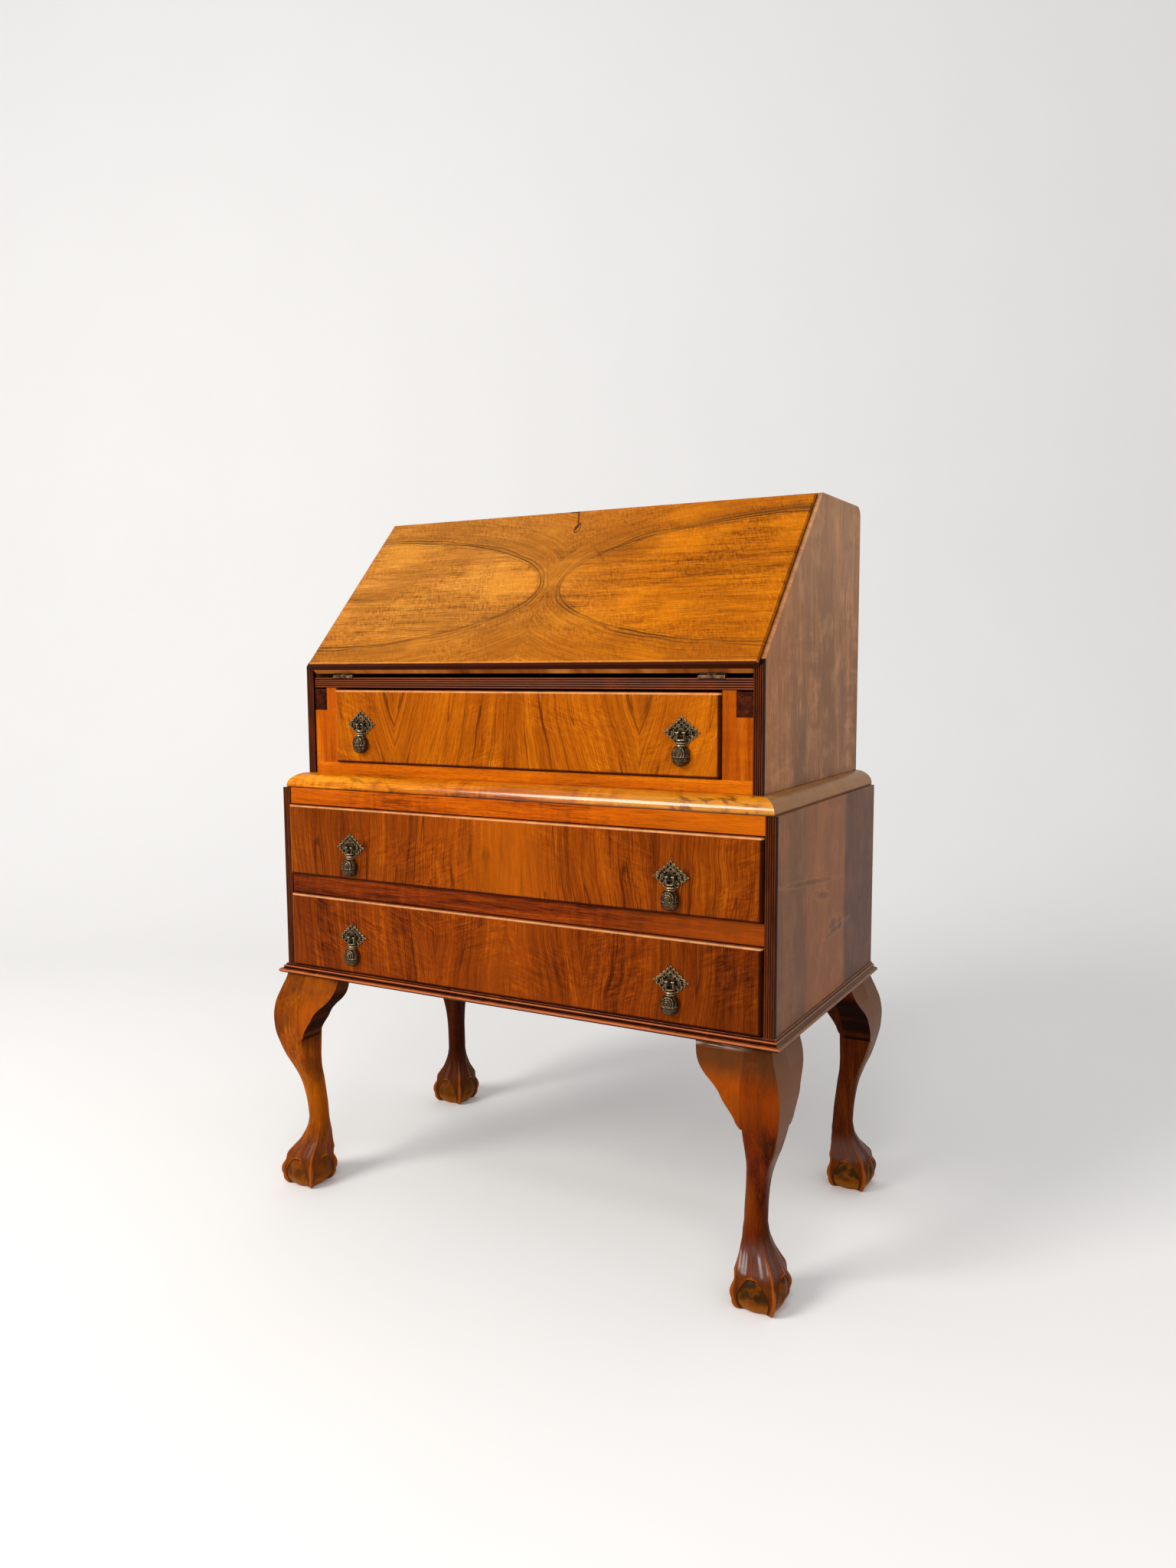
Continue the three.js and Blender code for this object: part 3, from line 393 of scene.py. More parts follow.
def fall_wood():
    """The fall's veneer, matched in mirrored ovals about its middle."""
    g, x, y, z = surface("fall_veneer")
    forward, up = y - SLOPE_START[0], z - SLOPE_START[1]
    along = forward * cos(SLOPE) + up * sin(SLOPE)
    depth = up * cos(SLOPE) - forward * sin(SLOPE)
    seam = 0.002
    right = x.above(seam, seam + 0.004)
    # 1 towards the right, clear of the painted sheen on the left
    clear_of_sheen = x.above(-0.14, 0.2)
    bend = g.noise(abs(x) * 8, along * 10, 3, 2) - 0.5
    loose = g.noise(x * 14, along * 17, 8, 3) - 0.5
    # The ovals of the two halves: their half lengths and widths, and their middles
    long, wide = g.choose(right, 0.334, 0.328), g.choose(right, 0.1125, 0.117)
    dx = (0.348 - abs(x - seam)) / long
    ds = (along - g.choose(right, 0.1455, 0.151)) / wide
    q = distance(dx, ds)
    steep = distance(dx / long, ds / wide)
    off = (q - 1) * q / steep + (bend + loose) * 0.008
    outside = off.above(-0.004, 0.004)
    turn = g.math("ARCTAN2", ds, dx)
    flat = grain(g, x, along, y * 0, 5, 0.012)
    curved = grain(g, turn * 0.12, off, y * 0 + 0.3, 9, 0.006)
    made = {key: g.choose(outside * 0.7, flat[key], curved[key]) for key in flat}
    slant, across = x + along * 0.45, along - x * 0.45
    strokes = g.noise(slant * 330, across * 70, 2, 3, 0.6, 0.4)
    specks = g.noise(x * 120, along * 520, 6, 3, 0.7)
    made["ripple"] = strokes * 0.55 + specks * 0.45
    made["patch"] = g.noise(x * 9, along * 12, 5, 1).above(0.25, 0.6) * 0.8 + 0.2
    made["line"] = made["line"] * 0.4
    stops = stops_of((116, 66, 16), (166, 102, 30), (190, 119, 40), (214, 142, 58))

    def blob(middle, up, wide, tall):
        """How far a point is from the middle of a round mark, 1 on its edge."""
        return distance((x - middle) / wide, (along - up) / tall)

    def marks(lay):
        patches = g.noise(x * 8, along * 15, 12, 3, 0.6)
        lay(patches.above(0.5, 0.68) * 0.45, (226, 150, 52))
        lay(patches.below(0.34, 0.48) * 0.35, (150, 88, 30))
        # Painted sheen: the right and the lower edge are warmed, which leaves the left paler and bluer, as if
        # a reflection lay over it
        warm = clear_of_sheen * 0.95 + along.below(0.02, 0.09) * (1 - clear_of_sheen) * 0.4
        lay(warm, (250, 218, 20), "MULTIPLY")
        lay(outside * 0.16, (150, 84, 20))
        strength = 0.5 + (g.noise(turn * 1.6, x * 9, 5) - 0.4).above(0, 0.24) * 0.6
        sway = g.noise(turn * 2.2, x * 6, 2, 1) - 0.5
        for place, shift, width, amount in (
            (0, 0, 0.0018, 1.1), (0.005, 0.016, 0.0019, 0.85), (-0.0045, 0.012, 0.0013, 0.45),
            (0.011, 0.012, 0.0022, 0.3), (0.018, 0.016, 0.002, 0.2),
        ):
            ring = (off - place - sway * shift).near(0, width)
            lay(ring * strength * amount, (52, 36, 12))
        band = (off - 0.006).near(0, 0.007) * right * ds.above(0.3, 0.6) * x.above(0.06, 0.3)
        lay(band * 0.5, (92, 54, 8))
        dusk = x.above(0.12, 0.34) * along.below(0.02, 0.12)
        lay(dusk * 0.3, (140, 66, 4))
        lay((off - 0.004).near(0, 0.012) * 0.12, (100, 64, 20))
        rays = g.noise(turn * 1.4, off * 150, 4).near(0.5, 0.03)
        lay(rays * outside * 0.3, (96, 56, 14))
        streaks = g.noise(x * 6, along * 230, 7, 3, 0.6).above(0.58, 0.7)
        lay(streaks * (1 - outside) * (right * 0.2 + 0.1), (118, 62, 8))
        lay(x.near(seam, 0.0008) * 0.35, (80, 46, 16))
        curls = g.noise(x * 190, along * 110, 1, 3, 0.6, 1.5).above(0.52, 0.6)
        lay(blob(-0.113, 0.178, 0.014, 0.022).below(0.5, 1.4) * curls * 0.55, (112, 58, 20))
        right_of, above_it = x - 0.044, along - 0.224
        line = right_of * 0.74 + above_it * 0.67
        reach = (right_of * 0.67 - above_it * 0.74).near(0.024, 0.034)
        lay(line.near(0, 0.0016) * reach * 0.8, (112, 40, 12))
        jitter = (g.noise(along * 120, 0, 2) - 0.5) * 0.01
        way = x - 0.004 + (along - 0.266) * 0.36 + jitter
        crack = way.near(0, 0.003) * along.above(0.264, 0.268)
        lay(crack * 0.95, (92, 30, 10))
        lay(blob(-0.014, 0.303, 0.012, 0.005).below(0.5, 1.1) * 0.95, (24, 12, 6))
        lay(blob(0.003, 0.265, 0.0034, 0.0075).near(1.25, 0.35) * 0.85, (44, 24, 10))
        lay(along.near(0.308, 0.005) * 0.7, (70, 34, 12))
        # Painted highlight: a pale line along the top of the lip, just above the lower edge
        lay(along.near(0.0028, 0.0018) * 0.5, (232, 158, 72))
        lay(along.below(0.0002, 0.0012), (58, 20, 7))
        # Painted shade: both ends darkened over their last millimetres, for the shadow in the gaps beside the
        # fall
        lay(abs(x).above(0.3455, 0.3475) * 0.8, (58, 24, 8))
        lay(depth.below(-0.004, -0.002), inner_wood(g, flat))

    return lacquered(g, made, stops, marks, 0.25, 0.6, rough=0.34, shares=(0.16, 0.42, 0.42))


def drawer_wood(name, middle, leaf, lean, stops, seed, light=0, left=0, right=0, figure=0.3):
    """A drawer's veneer: leaves whose lines lean apart, matched in mirrored pairs."""
    g, x, y, z = surface(name)
    low, high = span(name)
    down = (high[2] - z) + (g.noise(x * 6 + seed, z * 9, 1) - 0.5) * 0.05
    far = abs(x - middle)
    inner = leaf - abs(far - leaf)
    share = inner.above(0, leaf * 0.8)
    bow = (g.noise(x * 7 + seed, z * 8, 4) - 0.5) * 0.022
    v = inner - down * lean * (share * 0.6 + 0.4) + bow
    leaf_shift = far.above(leaf - 0.0001, leaf + 0.0001) * 0.02 + x.above(-0.0001, 0.0001) * 0.003
    made = grain(g, z, v, leaf_shift, seed, 0.008, 1.6)
    curls = g.noise(z * 150 + v * 60, x * 34 + seed, 1, 4, 0.6, 1.4)
    made["ripple"] = curls * 0.75 + g.noise(z * 60, x * 420, seed, 2, 0.7) * 0.25
    made["patch"] = g.noise(x * 9 + seed, z * 11, 6, 1).above(0.4, 0.6)

    def marks(lay):
        lay((far.near(leaf, 0.0006) + far.near(0, 0.0006)) * 0.2, stops[0][1])
        strands = g.noise(z * 4 + seed, v * 210, 3, 2, 0.6).above(0.62, 0.69)
        lay(strands * 0.25, stops[0][1])
        hairs = g.noise(z * 2 + seed, v * 46, 8, 1).near(0.52, 0.01)
        lay(hairs * 0.7, (48, 14, 2))
        pale = g.noise(z * 3 + seed, v * 150, 5, 2, 0.6).above(0.6, 0.7)
        lay(pale * 0.25, stops[3][1])
        if light:
            lay(x.near(0.012, 0.1) * light, stops[3][1])
        drift(lay, x, stops, left, right)
        # A noise that breaks up the painted highlights on the top and left edges
        highlight_break = 0.25 + g.noise(x * 60, z * 60, 3)
        left_edge, from_top = x - low[0], high[2] - z
        # Painted shade on the bottom and right edges, which face away from the light
        lay((z - low[2]).below(2.4 * MM, 4.6 * MM) * 0.9, (46, 14, 3))
        lay((high[0] - x).below(2.4 * MM, 4.6 * MM) * 0.9, (40, 12, 3))
        lay(left_edge.below(0.4 * MM, 2 * MM) * 0.5, (96, 40, 8))
        # Painted highlight along the top edge
        lay(from_top.near(1.9 * MM, 1.9 * MM) * highlight_break, (236, 168, 108))
        lay(from_top.below(0.2 * MM, 0.9 * MM) * 0.6, (60, 20, 4))
        # Painted light on the rounded left edge
        lay(left_edge.near(2.6 * MM, 1.4 * MM) * highlight_break * 0.35, (222, 140, 70))

    return lacquered(g, made, stops, marks, 0.35, figure, rough=0.36, level=0.03,
                     shares=(0.3, 0.32, 0.38), contrast=2)


def mitred_wood(name, stops, seed, burr=0, shine=0, under=0, **options):
    """A moulding's wood: the grain runs along the front, and along each side past the mitre."""
    g, x, y, z = surface(name)
    facing = g.place("Normal")
    side = (y - FRONT - (HALF - abs(x))).above(0, 0.0006)
    made = grain(g, g.choose(side, x, y), g.choose(side, y, x), z, seed, 0.01)

    def marks(lay):
        if burr:
            right = x.above(0.2, 0.26) * x.below(0.345, 0.375)
            left = x.below(-0.19, -0.15) * x.above(-0.3, -0.25)
            some = right + left * 0.8 + x.near(0, 0.05) * 0.25
            # Painted highlight: the right end paler and yellower
            lay(x.above(0.05, 0.25) * 0.35, (236, 166, 34))
            flecks = g.noise(x * 46 + y * 90, y * 60 + z * 60, 2, 3, 0.6, 0.5).above(0.46, 0.64)
            lay(some * flecks * burr, (104, 52, 4))
            lay(g.noise(x * 16, y * 20, z * 20 + 4).above(0.6, 0.7) * 0.4, (150, 76, 8))
        relief = g.relief()
        # Painted shade in the grooves and under the step
        lay((-relief).above(0, 0.7) * 0.95, (22, 6, 2))
        # Painted shade on faces that look downwards, by the amount under
        lay(facing[2].below(-0.35, 0.3) * under, (52, 16, 5))
        # Painted highlight on the beads' tops
        lay(relief.above(0.66, 0.9) * 0.5, (226, 132, 78))
        # Painted shade and reflection: the sides past the mitres turned greyish brown
        lay(side * 0.7, (120, 90, 66))

    coat = x.above(-0.2, 0.1) * (1 - side) * shine
    return lacquered(g, made, stops, marks, rough=0.24, coat=coat, **options)


def side_wood(name, stops, seed, lower):
    """The side panels: brown upright grain, and on the lower ones a warm board with knots."""
    g, x, y, z = surface(name)
    made = grain(g, z, y + x * 0.3, x * 0.1, seed, 0.03)
    mottle = g.noise(y * 26, z * 20, seed, 3, 0.6)
    edge = (g.noise(z * 30, y * 60, 3, 3) - 0.5) * 0.02

    def marks(lay):
        lay((mottle - 0.5).above(0, 0.2) * 0.3, stops[3][1])
        lay((0.5 - mottle).above(0.02, 0.2) * 0.15, stops[0][1])
        hue = g.noise(y * 16, z * 9, seed + 5, 3, 0.6)
        lay(hue.above(0.5, 0.66) * 0.25, (184, 118, 66))
        lay(hue.below(0.34, 0.5) * 0.12, (130, 100, 86))
        lay(x.below(-0.1, 0.1), (220, 208, 196), "MULTIPLY")
        if not lower:
            lay(z.above(0.75, 0.98) * 0.25, (212, 160, 118))
            lay(y.below(-0.12, -0.03) * z.below(0.8, 0.95) * 0.3, (186, 112, 60))
            lay(z.below(0.66, 0.74) * y.near(-0.04, 0.07) * 0.3, (96, 60, 40))
            return
        ragged = y + edge
        warm = ragged.above(-0.098, -0.08) * ragged.below(0.062, 0.078)
        lay(ragged.below(-0.098, -0.08) * 0.3, (170, 112, 66))
        lay(y.above(0.066, 0.076) * 0.5, (98, 62, 48))
        lay(warm * 0.38, (186, 112, 60))
        lay((1 - warm) * z.below(0.42, 0.56) * 0.25, (88, 58, 50))
        for ky, kz, wide, tall, tilt in (
            (-0.075, 0.505, 0.085, 0.0035, -0.1), (-0.03, 0.481, 0.028, 0.006, -0.18),
            (0.018, 0.433, 0.016, 0.009, 0), (0.048, 0.43, 0.012, 0.009, 0),
            (0.03, 0.424, 0.04, 0.004, 0.08), (-0.048, 0.411, 0.003, 0.009, 0),
        ):
            a = (y - ky) / wide
            b = (z - kz - (y - ky) * tilt) / tall
            ring = distance(a, b) + (g.noise(y * 90, z * 150, 1, 3) - 0.5) * 1.8
            lay(ring.below(0.1, 1.2) * 0.55, (78, 52, 40))
            lay(ring.near(1.3, 0.35) * 0.2, (190, 134, 84))

    return lacquered(g, made, stops, marks, 0.08, 0.2, rough=0.42, level=0.16,
                     shares=(0.2, 0.24, 0.34), cloud=0.2)


# The relief that marks the ball between the talons
DOME = -9


def leg_wood():
    """The legs: golden orange in front, darker behind, partly as painted shade, with ears of another block
    and carved feet.
    """
    g, x, y, z = surface("leg_wood")
    facing = g.place("Normal")
    relief = g.relief()
    made = grain(g, z, x, y, 21, 0.02)
    stops = stops_of((68, 26, 1), (122, 52, 2), (150, 69, 2), (184, 98, 5))

    def marks(lay):
        front = y.below(-0.05, 0.05)
        right = x.above(-0.05, 0.05)
        lay(front * right * 0.9, (192, 148, 138), "MULTIPLY")
        # The rear legs darker: partly their own wood, partly painted shade
        lay(1 - front, (138, 118, 100), "MULTIPLY")
        joint = abs(x).below(HALF - 0.0365, HALF - 0.0355) * z.above(0.2, 0.23)
        lay(joint * front * 0.45, (178, 82, 3))
        cloud = g.noise(x * 24, y * 24, z * 16, 3)
        lay((cloud - 0.5).above(0, 0.16) * 0.5, (72, 32, 2))
        smudge = z.above(LEG_TOP - 0.055, LEG_TOP - 0.02) * cloud.above(0.2, 0.45) * front
        lay(smudge * (0.35 + right * 0.45), (66, 40, 12))
        # A whitish line on the top arris of the front right leg: partly wear, partly painted highlight
        dry = g.noise(x * 40, y * 40, z * 500).above(0.42, 0.6)
        worn = z.above(LEG_TOP - 0.008, LEG_TOP - 0.003) * dry * x.below(HALF - 0.07, HALF - 0.02)
        lay(worn * right * front * 0.75, (190, 172, 160))
        lay(z.near(0.13, 0.08) * (1 - right) * front * 0.4, (176, 92, 3))
        lay(z.near(0.262, 0.055) * right * front * 0.3, (170, 74, 2))
        glow = z.near(0.125, 0.05) * x.below(HALF - 0.035, HALF - 0.02)
        lay(glow * right * front * 0.3, (176, 84, 4))
        # The rear left leg darker still: partly its own wood, partly painted shade
        lay((1 - front) * (1 - right) * 0.35, (40, 14, 2))
        # Painted reflection: the outward faces of the right legs turned greyish brown
        outer = facing[0].above(0.5, 0.8) * x.above(HALF - 0.02, HALF) * z.above(0.13, 0.2)
        lay(outer * 0.85, (120, 80, 54))
        lay(z.below(0.09, 0.2) * right * front * 0.35, (62, 22, 1))
        lay(z.below(0.03, 0.095) * 0.55, (100, 50, 14))
        web = z.above(0.044, 0.05) * z.below(0.07, 0.095)
        lay(web * (0.2 + right * 0.25), (84, 38, 24))
        dome = relief.near(DOME, 1)
        patina = g.noise(x * 70, y * 70, z * 70, 3)
        lay(dome * 0.6, (122, 64, 6))
        # Darker patches over the ball, more on the right legs, clear of its lowest rim
        dome_patches = patina.above(0.4, 0.6) * z.above(0.012, 0.022) * (0.5 + right * 0.4)
        lay(dome * dome_patches, (44, 30, 8))
        lay(dome * z.below(0.006, 0.018) * 0.4, (180, 106, 10))
        # Painted shade in the carving's hollows
        lay((-relief).above(0.3, 1.6) * (1 - dome) * 0.85, (28, 12, 4))
        lay(relief.above(0.35, 1.4) * 0.45, (186, 92, 12))
        # Painted shade on the faces that look down high on the legs, under the ears
        lay((-facing[2]).above(0.25, 0.6) * z.above(0.19, 0.21) * 0.95, (20, 8, 3))
        # Painted shade on the upper faces that look inwards, under the case
        away = (-facing[0] * x.above(0, 0.001) + facing[0] * x.below(-0.001, 0)).above(0.5, 0.9)
        lay(away * z.above(0.2, 0.24) * 0.7, (40, 18, 5))

    dull = (-facing[2]).above(0.2, 0.5) * z.above(0.19, 0.21)
    glint = z.above(0.04, 0.05) * z.below(0.062, 0.086) * relief.below(0.1, 0.8)
    sheen = (0.15 + x.above(-0.05, 0.05) * 0.65) * glint
    return lacquered(g, made, stops, marks, ripple=0.2, rough=0.3 + dull * 0.6, level=0.035, coat=sheen,
                     coat_rough=0.3)


def old_bronze():
    """Dark cast metal, worn bright where it stands proud."""
    g, x, y, z = surface("antique_bronze")
    relief = g.relief()
    cloud = g.noise(x * 260, y * 260, z * 260, 3)
    fine = g.noise(x * 1500, y * 1500, z * 1500)
    lay = Layers(g, g.ramp(cloud, [(0.3, (40, 29, 17)), (0.5, (84, 66, 42)), (0.7, (130, 106, 70))]))
    lay((-relief).above(0, 0.3) * 0.95, (9, 5, 3))
    bright = g.noise(x * 420, y * 420, z * 420).above(0.4, 0.62) * 0.5 + 0.35
    lay(relief.above(0.06, 0.42) * bright, (206, 182, 140))
    gloss = 0.34 + (fine - 0.5) * 0.24 - relief * 0.12
    return g.shade(lay.colour, gloss, fine + cloud * 2, 0.08 * MM, metal=0.8)


def brass():
    g, x, y, z = surface("brass")
    cloud = g.noise(x * 180, y * 180, z * 180, 3)
    brush = g.noise(x * 90, y * 2200, z * 2200, 1)
    colour = g.ramp(cloud, [(0.3, (66, 48, 34)), (0.55, (124, 94, 68)), (0.75, (176, 146, 116))])
    return g.shade(colour, 0.36 + (brush - 0.5) * 0.2, brush + cloud, 0.05 * MM, metal=0.85)


def dark_reeds(name, seed):
    """Dark moulded wood, with painted shade in its grooves and painted highlights, broken by a noise, on its
    reeds.
    """
    g, x, y, z = surface(name)
    made = grain(g, z, x, y, seed)
    relief = g.relief()

    def marks(lay):
        highlight_break = g.noise(z * 30, x * 90, y * 90).above(0.3, 0.7)
        # Painted highlight on the reeds' tops
        lay(relief.above(0.72, 1) * (0.3 + highlight_break * 0.45), (150, 74, 32))
        lay(0.25, (30, 10, 4))
        # Painted shade in the grooves
        lay((-relief).above(-0.25, 0.5) * 0.95, (9, 3, 1))

    return lacquered(g, made, DARK, marks, ripple=0.1, rough=0.34, level=0.05)


def reeded_rail():
    """The writing board: plain wood on top, and dark reeds along its front edge, with painted highlights and
    shade.
    """
    g, x, y, z = surface("writing_board_wood")
    low, high = span("writing_board")
    made = grain(g, x, y, z, 33)
    pitch = (high[2] - low[2]) / 5
    turn = g.math("FRACT", (z - low[2]) / pitch)
    edge = y.below(low[1] + 1.6 * MM, low[1] + 2.2 * MM)

    def marks(lay):
        inside = y.above(low[1] + 6 * MM, low[1] + 9 * MM)
        lay(inside, inner_wood(g, made))
        glow = g.noise(x * 12, 1, 2).above(0.45, 0.65) * x.above(0, 0.2)
        lay(glow * edge * 0.55, (160, 50, 8))
        lay(edge * 0.25, (120, 50, 12))
        # Painted highlights on the reeds' tops, and painted shade in the grooves between them
        lay(edge * turn.near(0.62, 0.24) * 0.5, (170, 92, 50))
        lay(edge * (1 - abs(turn - 0.5).below(0.32, 0.44)) * 0.92, (12, 4, 2))

    return lacquered(g, made, DARK, marks, ripple=0.1, rough=0.34, level=0.06)


FALL_WOOD = fall_wood()
BRONZE = old_bronze()
BRASS = brass()
LEG_WOOD = leg_wood()
STRIP_WOOD = dark_reeds("strip_wood", 31)
REED_WOOD = reeded_rail()
GOLD = stops_of((110, 50, 2), (184, 94, 4), (210, 118, 7), (232, 146, 26))
BASE = stops_of((48, 14, 2), (100, 38, 5), (130, 54, 8), (164, 78, 18))
WAIST_WOOD = mitred_wood("waist_wood", GOLD, 12, 0.8, 0.9, level=0.1)
BASE_WOOD = mitred_wood("base_wood", BASE, 14, under=0.8, level=0.08)
STREAKS = (0.1, 0.45, 0.35)
FRIEZE = stops_of((120, 48, 1), (178, 77, 1), (194, 90, 2), (214, 110, 5))
LOW_RAIL = stops_of((128, 56, 1), (188, 89, 1), (206, 104, 3), (226, 126, 8))
STILE = stops_of((112, 44, 1), (162, 70, 1), (180, 82, 2), (206, 104, 5))
MIDDLE = stops_of((66, 20, 2), (116, 42, 3), (142, 56, 4), (172, 78, 8))
RAIL_WOOD = plain_wood("rail_wood", "x", FRIEZE, 44, 0.1, 0.45, ripple=0.15, shares=STREAKS)
LOW_RAIL_WOOD = plain_wood("low_rail_wood", "x", LOW_RAIL, 41)
STILE_WOOD = plain_wood("stile_wood", "z", STILE, 43, 0, -0.3, 0.15, 0.15)
MID_RAIL_WOOD = plain_wood("mid_rail_wood", "x", MIDDLE, 48, -0.35, 0.45, ripple=0.15, shares=STREAKS)
LOPER_WOOD = plain_wood("loper_wood", "y", DARK, 47, lines=0.2)
PINE = stops_of((128, 84, 44), (176, 130, 78), (198, 152, 98), (216, 174, 120))
BACKS = stops_of((70, 42, 22), (112, 72, 40), (136, 92, 54), (160, 114, 70))
INNER = stops_of((78, 36, 14), (128, 68, 28), (154, 88, 38), (180, 112, 54))
TOP = stops_of((84, 40, 10), (138, 78, 26), (166, 100, 36), (192, 124, 52))
BOX_WOOD = plain_wood("drawer_box_wood", "y", PINE, 51, rough=0.6, level=0.3)
BOX_ACROSS = plain_wood("drawer_box_across", "x", PINE, 52, rough=0.6, level=0.3)
BACK_WOOD = plain_wood("back_board_wood", "z", BACKS, 53, lines=0.5, rough=0.62, level=0.3)
INSIDE_UP = plain_wood("inside_upright_wood", "z", INNER, 56, rough=0.42, level=0.3)
TOP_WOOD = plain_wood("top_wood", "x", TOP, 57, lines=0.3, ripple=0.2, level=0.25)
UPPER_SIDE = stops_of((136, 88, 50), (186, 126, 77), (208, 143, 88), (228, 166, 106))
LOWER_SIDE = stops_of((86, 48, 22), (130, 78, 42), (148, 90, 50), (170, 108, 62))
UPPER_SIDE_WOOD = side_wood("upper_side_wood", UPPER_SIDE, 61, False)
LOWER_SIDE_WOOD = side_wood("lower_side_wood", LOWER_SIDE, 63, True)
D1 = stops_of((96, 40, 1), (155, 74, 2), (178, 90, 3), (208, 117, 10))
D2 = stops_of((70, 24, 1), (124, 51, 2), (150, 66, 3), (186, 93, 6))
D3 = stops_of((56, 18, 1), (110, 42, 2), (134, 55, 2), (168, 78, 5))
DRAWER_WOODS = {
    "drawer_1_front": drawer_wood("drawer_1_front", 0, 0.192, 0.3, D1, 71, 0, -0.12, 0.2, 0.35),
    "drawer_2_front": drawer_wood("drawer_2_front", -0.02, 0.25, 0.07, D2, 73, 0.45, -0.35, -0.25, 0.35),
    "drawer_3_front": drawer_wood("drawer_3_front", 0.01, 0.115, 0.14, D3, 75, 0.25, -0.15, -0.35, 0.45),
}

# Mouldings


def moulded_slab(name, node, profile, material, relief):
    """A slab with one profile round its front and sides, mitred at the front corners."""
    rings = []
    for out, z in profile:
        side, front = HALF + out, FRONT - out
        rings.append([(-side, BACK, z), (-side, front, z), (side, front, z), (side, BACK, z)])
    shape = Shape().loft(rings, np.repeat(relief, 4))
    shape.piece(name, "carcase", material, "moulding_wood", (node,), 30)


def round_of(centre, radius, start, end, steps):
    """Points of an arc, as (out, up), between two angles in degrees measured from outwards."""
    angles = [radians(start + (end - start) * k / steps) for k in range(steps + 1)]
    return [(centre[0] + radius * cos(a), centre[1] + radius * sin(a)) for a in angles]


def base_moulding():
    """Two small beads and a larger one, stepped outwards and downwards with grooves between."""
    reach = (base_high[0] - HALF) / MM
    tall = (base_high[2] - base_low[2]) / MM
    # Each bead's middle, radius, first and last angle, and how worn and lit it is, which sets the painted
    # highlight on its top
    beads = [((0.9, tall - 1.4), 1.25, 110, -32, 1.2), ((2.6, tall - 4.7), 2.15, 112, -36, 1.7),
             ((reach - 2.85, 2.85), 2.85, 104, -78, 1.7)]
    points = [(-20, tall, 0), (0, tall, 0), (0.15, tall - 0.3, -1)]
    for centre, radius, start, end, worn in beads:
        arc = round_of(centre, radius, start, end, 12)
        points.append((arc[0][0] - 0.4, arc[0][1] - 0.4, -1))
        for k, (out, up) in enumerate(arc):
            points.append((out, up, worn * sin(pi * (k + 0.5) / len(arc)) - 0.8))
        points.append((arc[-1][0] - 0.4, arc[-1][1] - 0.3, -1))
    points.append((reach - 3.6, 0, -0.6))
    profile = [(out * MM, base_low[2] + up * MM) for out, up, _ in points]
    moulded_slab("base_moulding", "bottom_board", profile, BASE_WOOD, [r for _, _, r in points])


def waist_moulding():
    """A broad quarter round over a small step."""
    setback = HALF - waist_high[0]
    lip, wide = 2.5 * MM, 24 * MM
    tall = waist_high[2] - waist_low[2] - lip
    profile = [(-0.06, waist_high[2])]
    for k in range(25):
        a = pi / 2 * (1 - k / 24)
        profile.append((-setback - wide + wide * cos(a), waist_low[2] + lip + tall * sin(a)))
    for inwards, up in ((0.2 * MM, lip * 0.9), (0.4 * MM, 0.2 * MM), (0.8 * MM, 0)):
        profile.append((-setback - inwards, waist_low[2] + up))
    relief = [0] * (len(profile) - 3) + [-0.3, -0.6, -1]
    moulded_slab("waist_moulding", "waist_board", profile, WAIST_WOOD, relief)


def reeded_strips():
    """The upright reeded strips at the front corners of both cases."""
    count, steps, deep, thick = 5, 8, 1.2 * MM, 7 * MM
    share = 0.46  # a reed's half width, of the pitch
    for case, front in (("lower", FRONT), ("upper", UPPER_FRONT)):
        for hand, sign in (("left", -1), ("right", 1)):
            node = f"{case}_strip_{hand}"
            low, high = span(node)
            inner, outer = sorted((abs(low[0]), abs(high[0])))
            pitch = (outer - inner) / count
            back = front + thick
            outline, relief = [(sign * inner, back)], [0]
            for i in range(count):
                for k in range(steps + 1):
                    a = pi * (1 - k / steps)
                    across = inner + (i + 0.5 + share * cos(a)) * pitch
                    outline.append((sign * across, front + deep * (1 - sin(a))))
                    relief.append(2 * sin(a) - 1)
            outline.append((sign * outer, back))
            relief.append(0)
            rings = [[(x, y, low[2]) for x, y in outline]]
            if case == "lower":
                rings.append([(x, y, high[2]) for x, y in outline])
            else:
                rings.append([(x, y, SLOPE_START[1] + (y - UPPER_FRONT) * tan(SLOPE)) for x, y in outline])
            shape = Shape().loft(rings, np.tile(relief, 2))
            shape.piece(f"{case}_reeds_{hand}", "carcase", STRIP_WOOD, "dark_wood", (node,), 40)


def drawer_fronts():
    """Drawer fronts with rounded edges above a small step."""
    corner, proud, step = 4 * MM, 5 * MM, 0.5 * MM
    for number in (1, 2, 3):
        node = f"drawer_{number}_front"
        low, high = span(node)
        levels = [(0, high[1]), (0, low[1] + proud), (step, low[1] + proud - 0.3 * MM)]
        for k in range(9):
            a = pi / 2 * k / 8
            levels.append((step + (corner - step) * (1 - cos(a)), low[1] + corner * (1 - sin(a))))
        rings = []
        for d, y in levels:
            rings.append([
                (low[0] + d, y, low[2] + d), (high[0] - d, y, low[2] + d),
                (high[0] - d, y, high[2] - d), (low[0] + d, y, high[2] - d),
            ])
        shape = Shape().loft(rings)
        body = f"drawer_{number}"
        shape.piece(f"{body}_face", body, DRAWER_WOODS[node], "drawer_veneer", (node,), 30)


# Legs

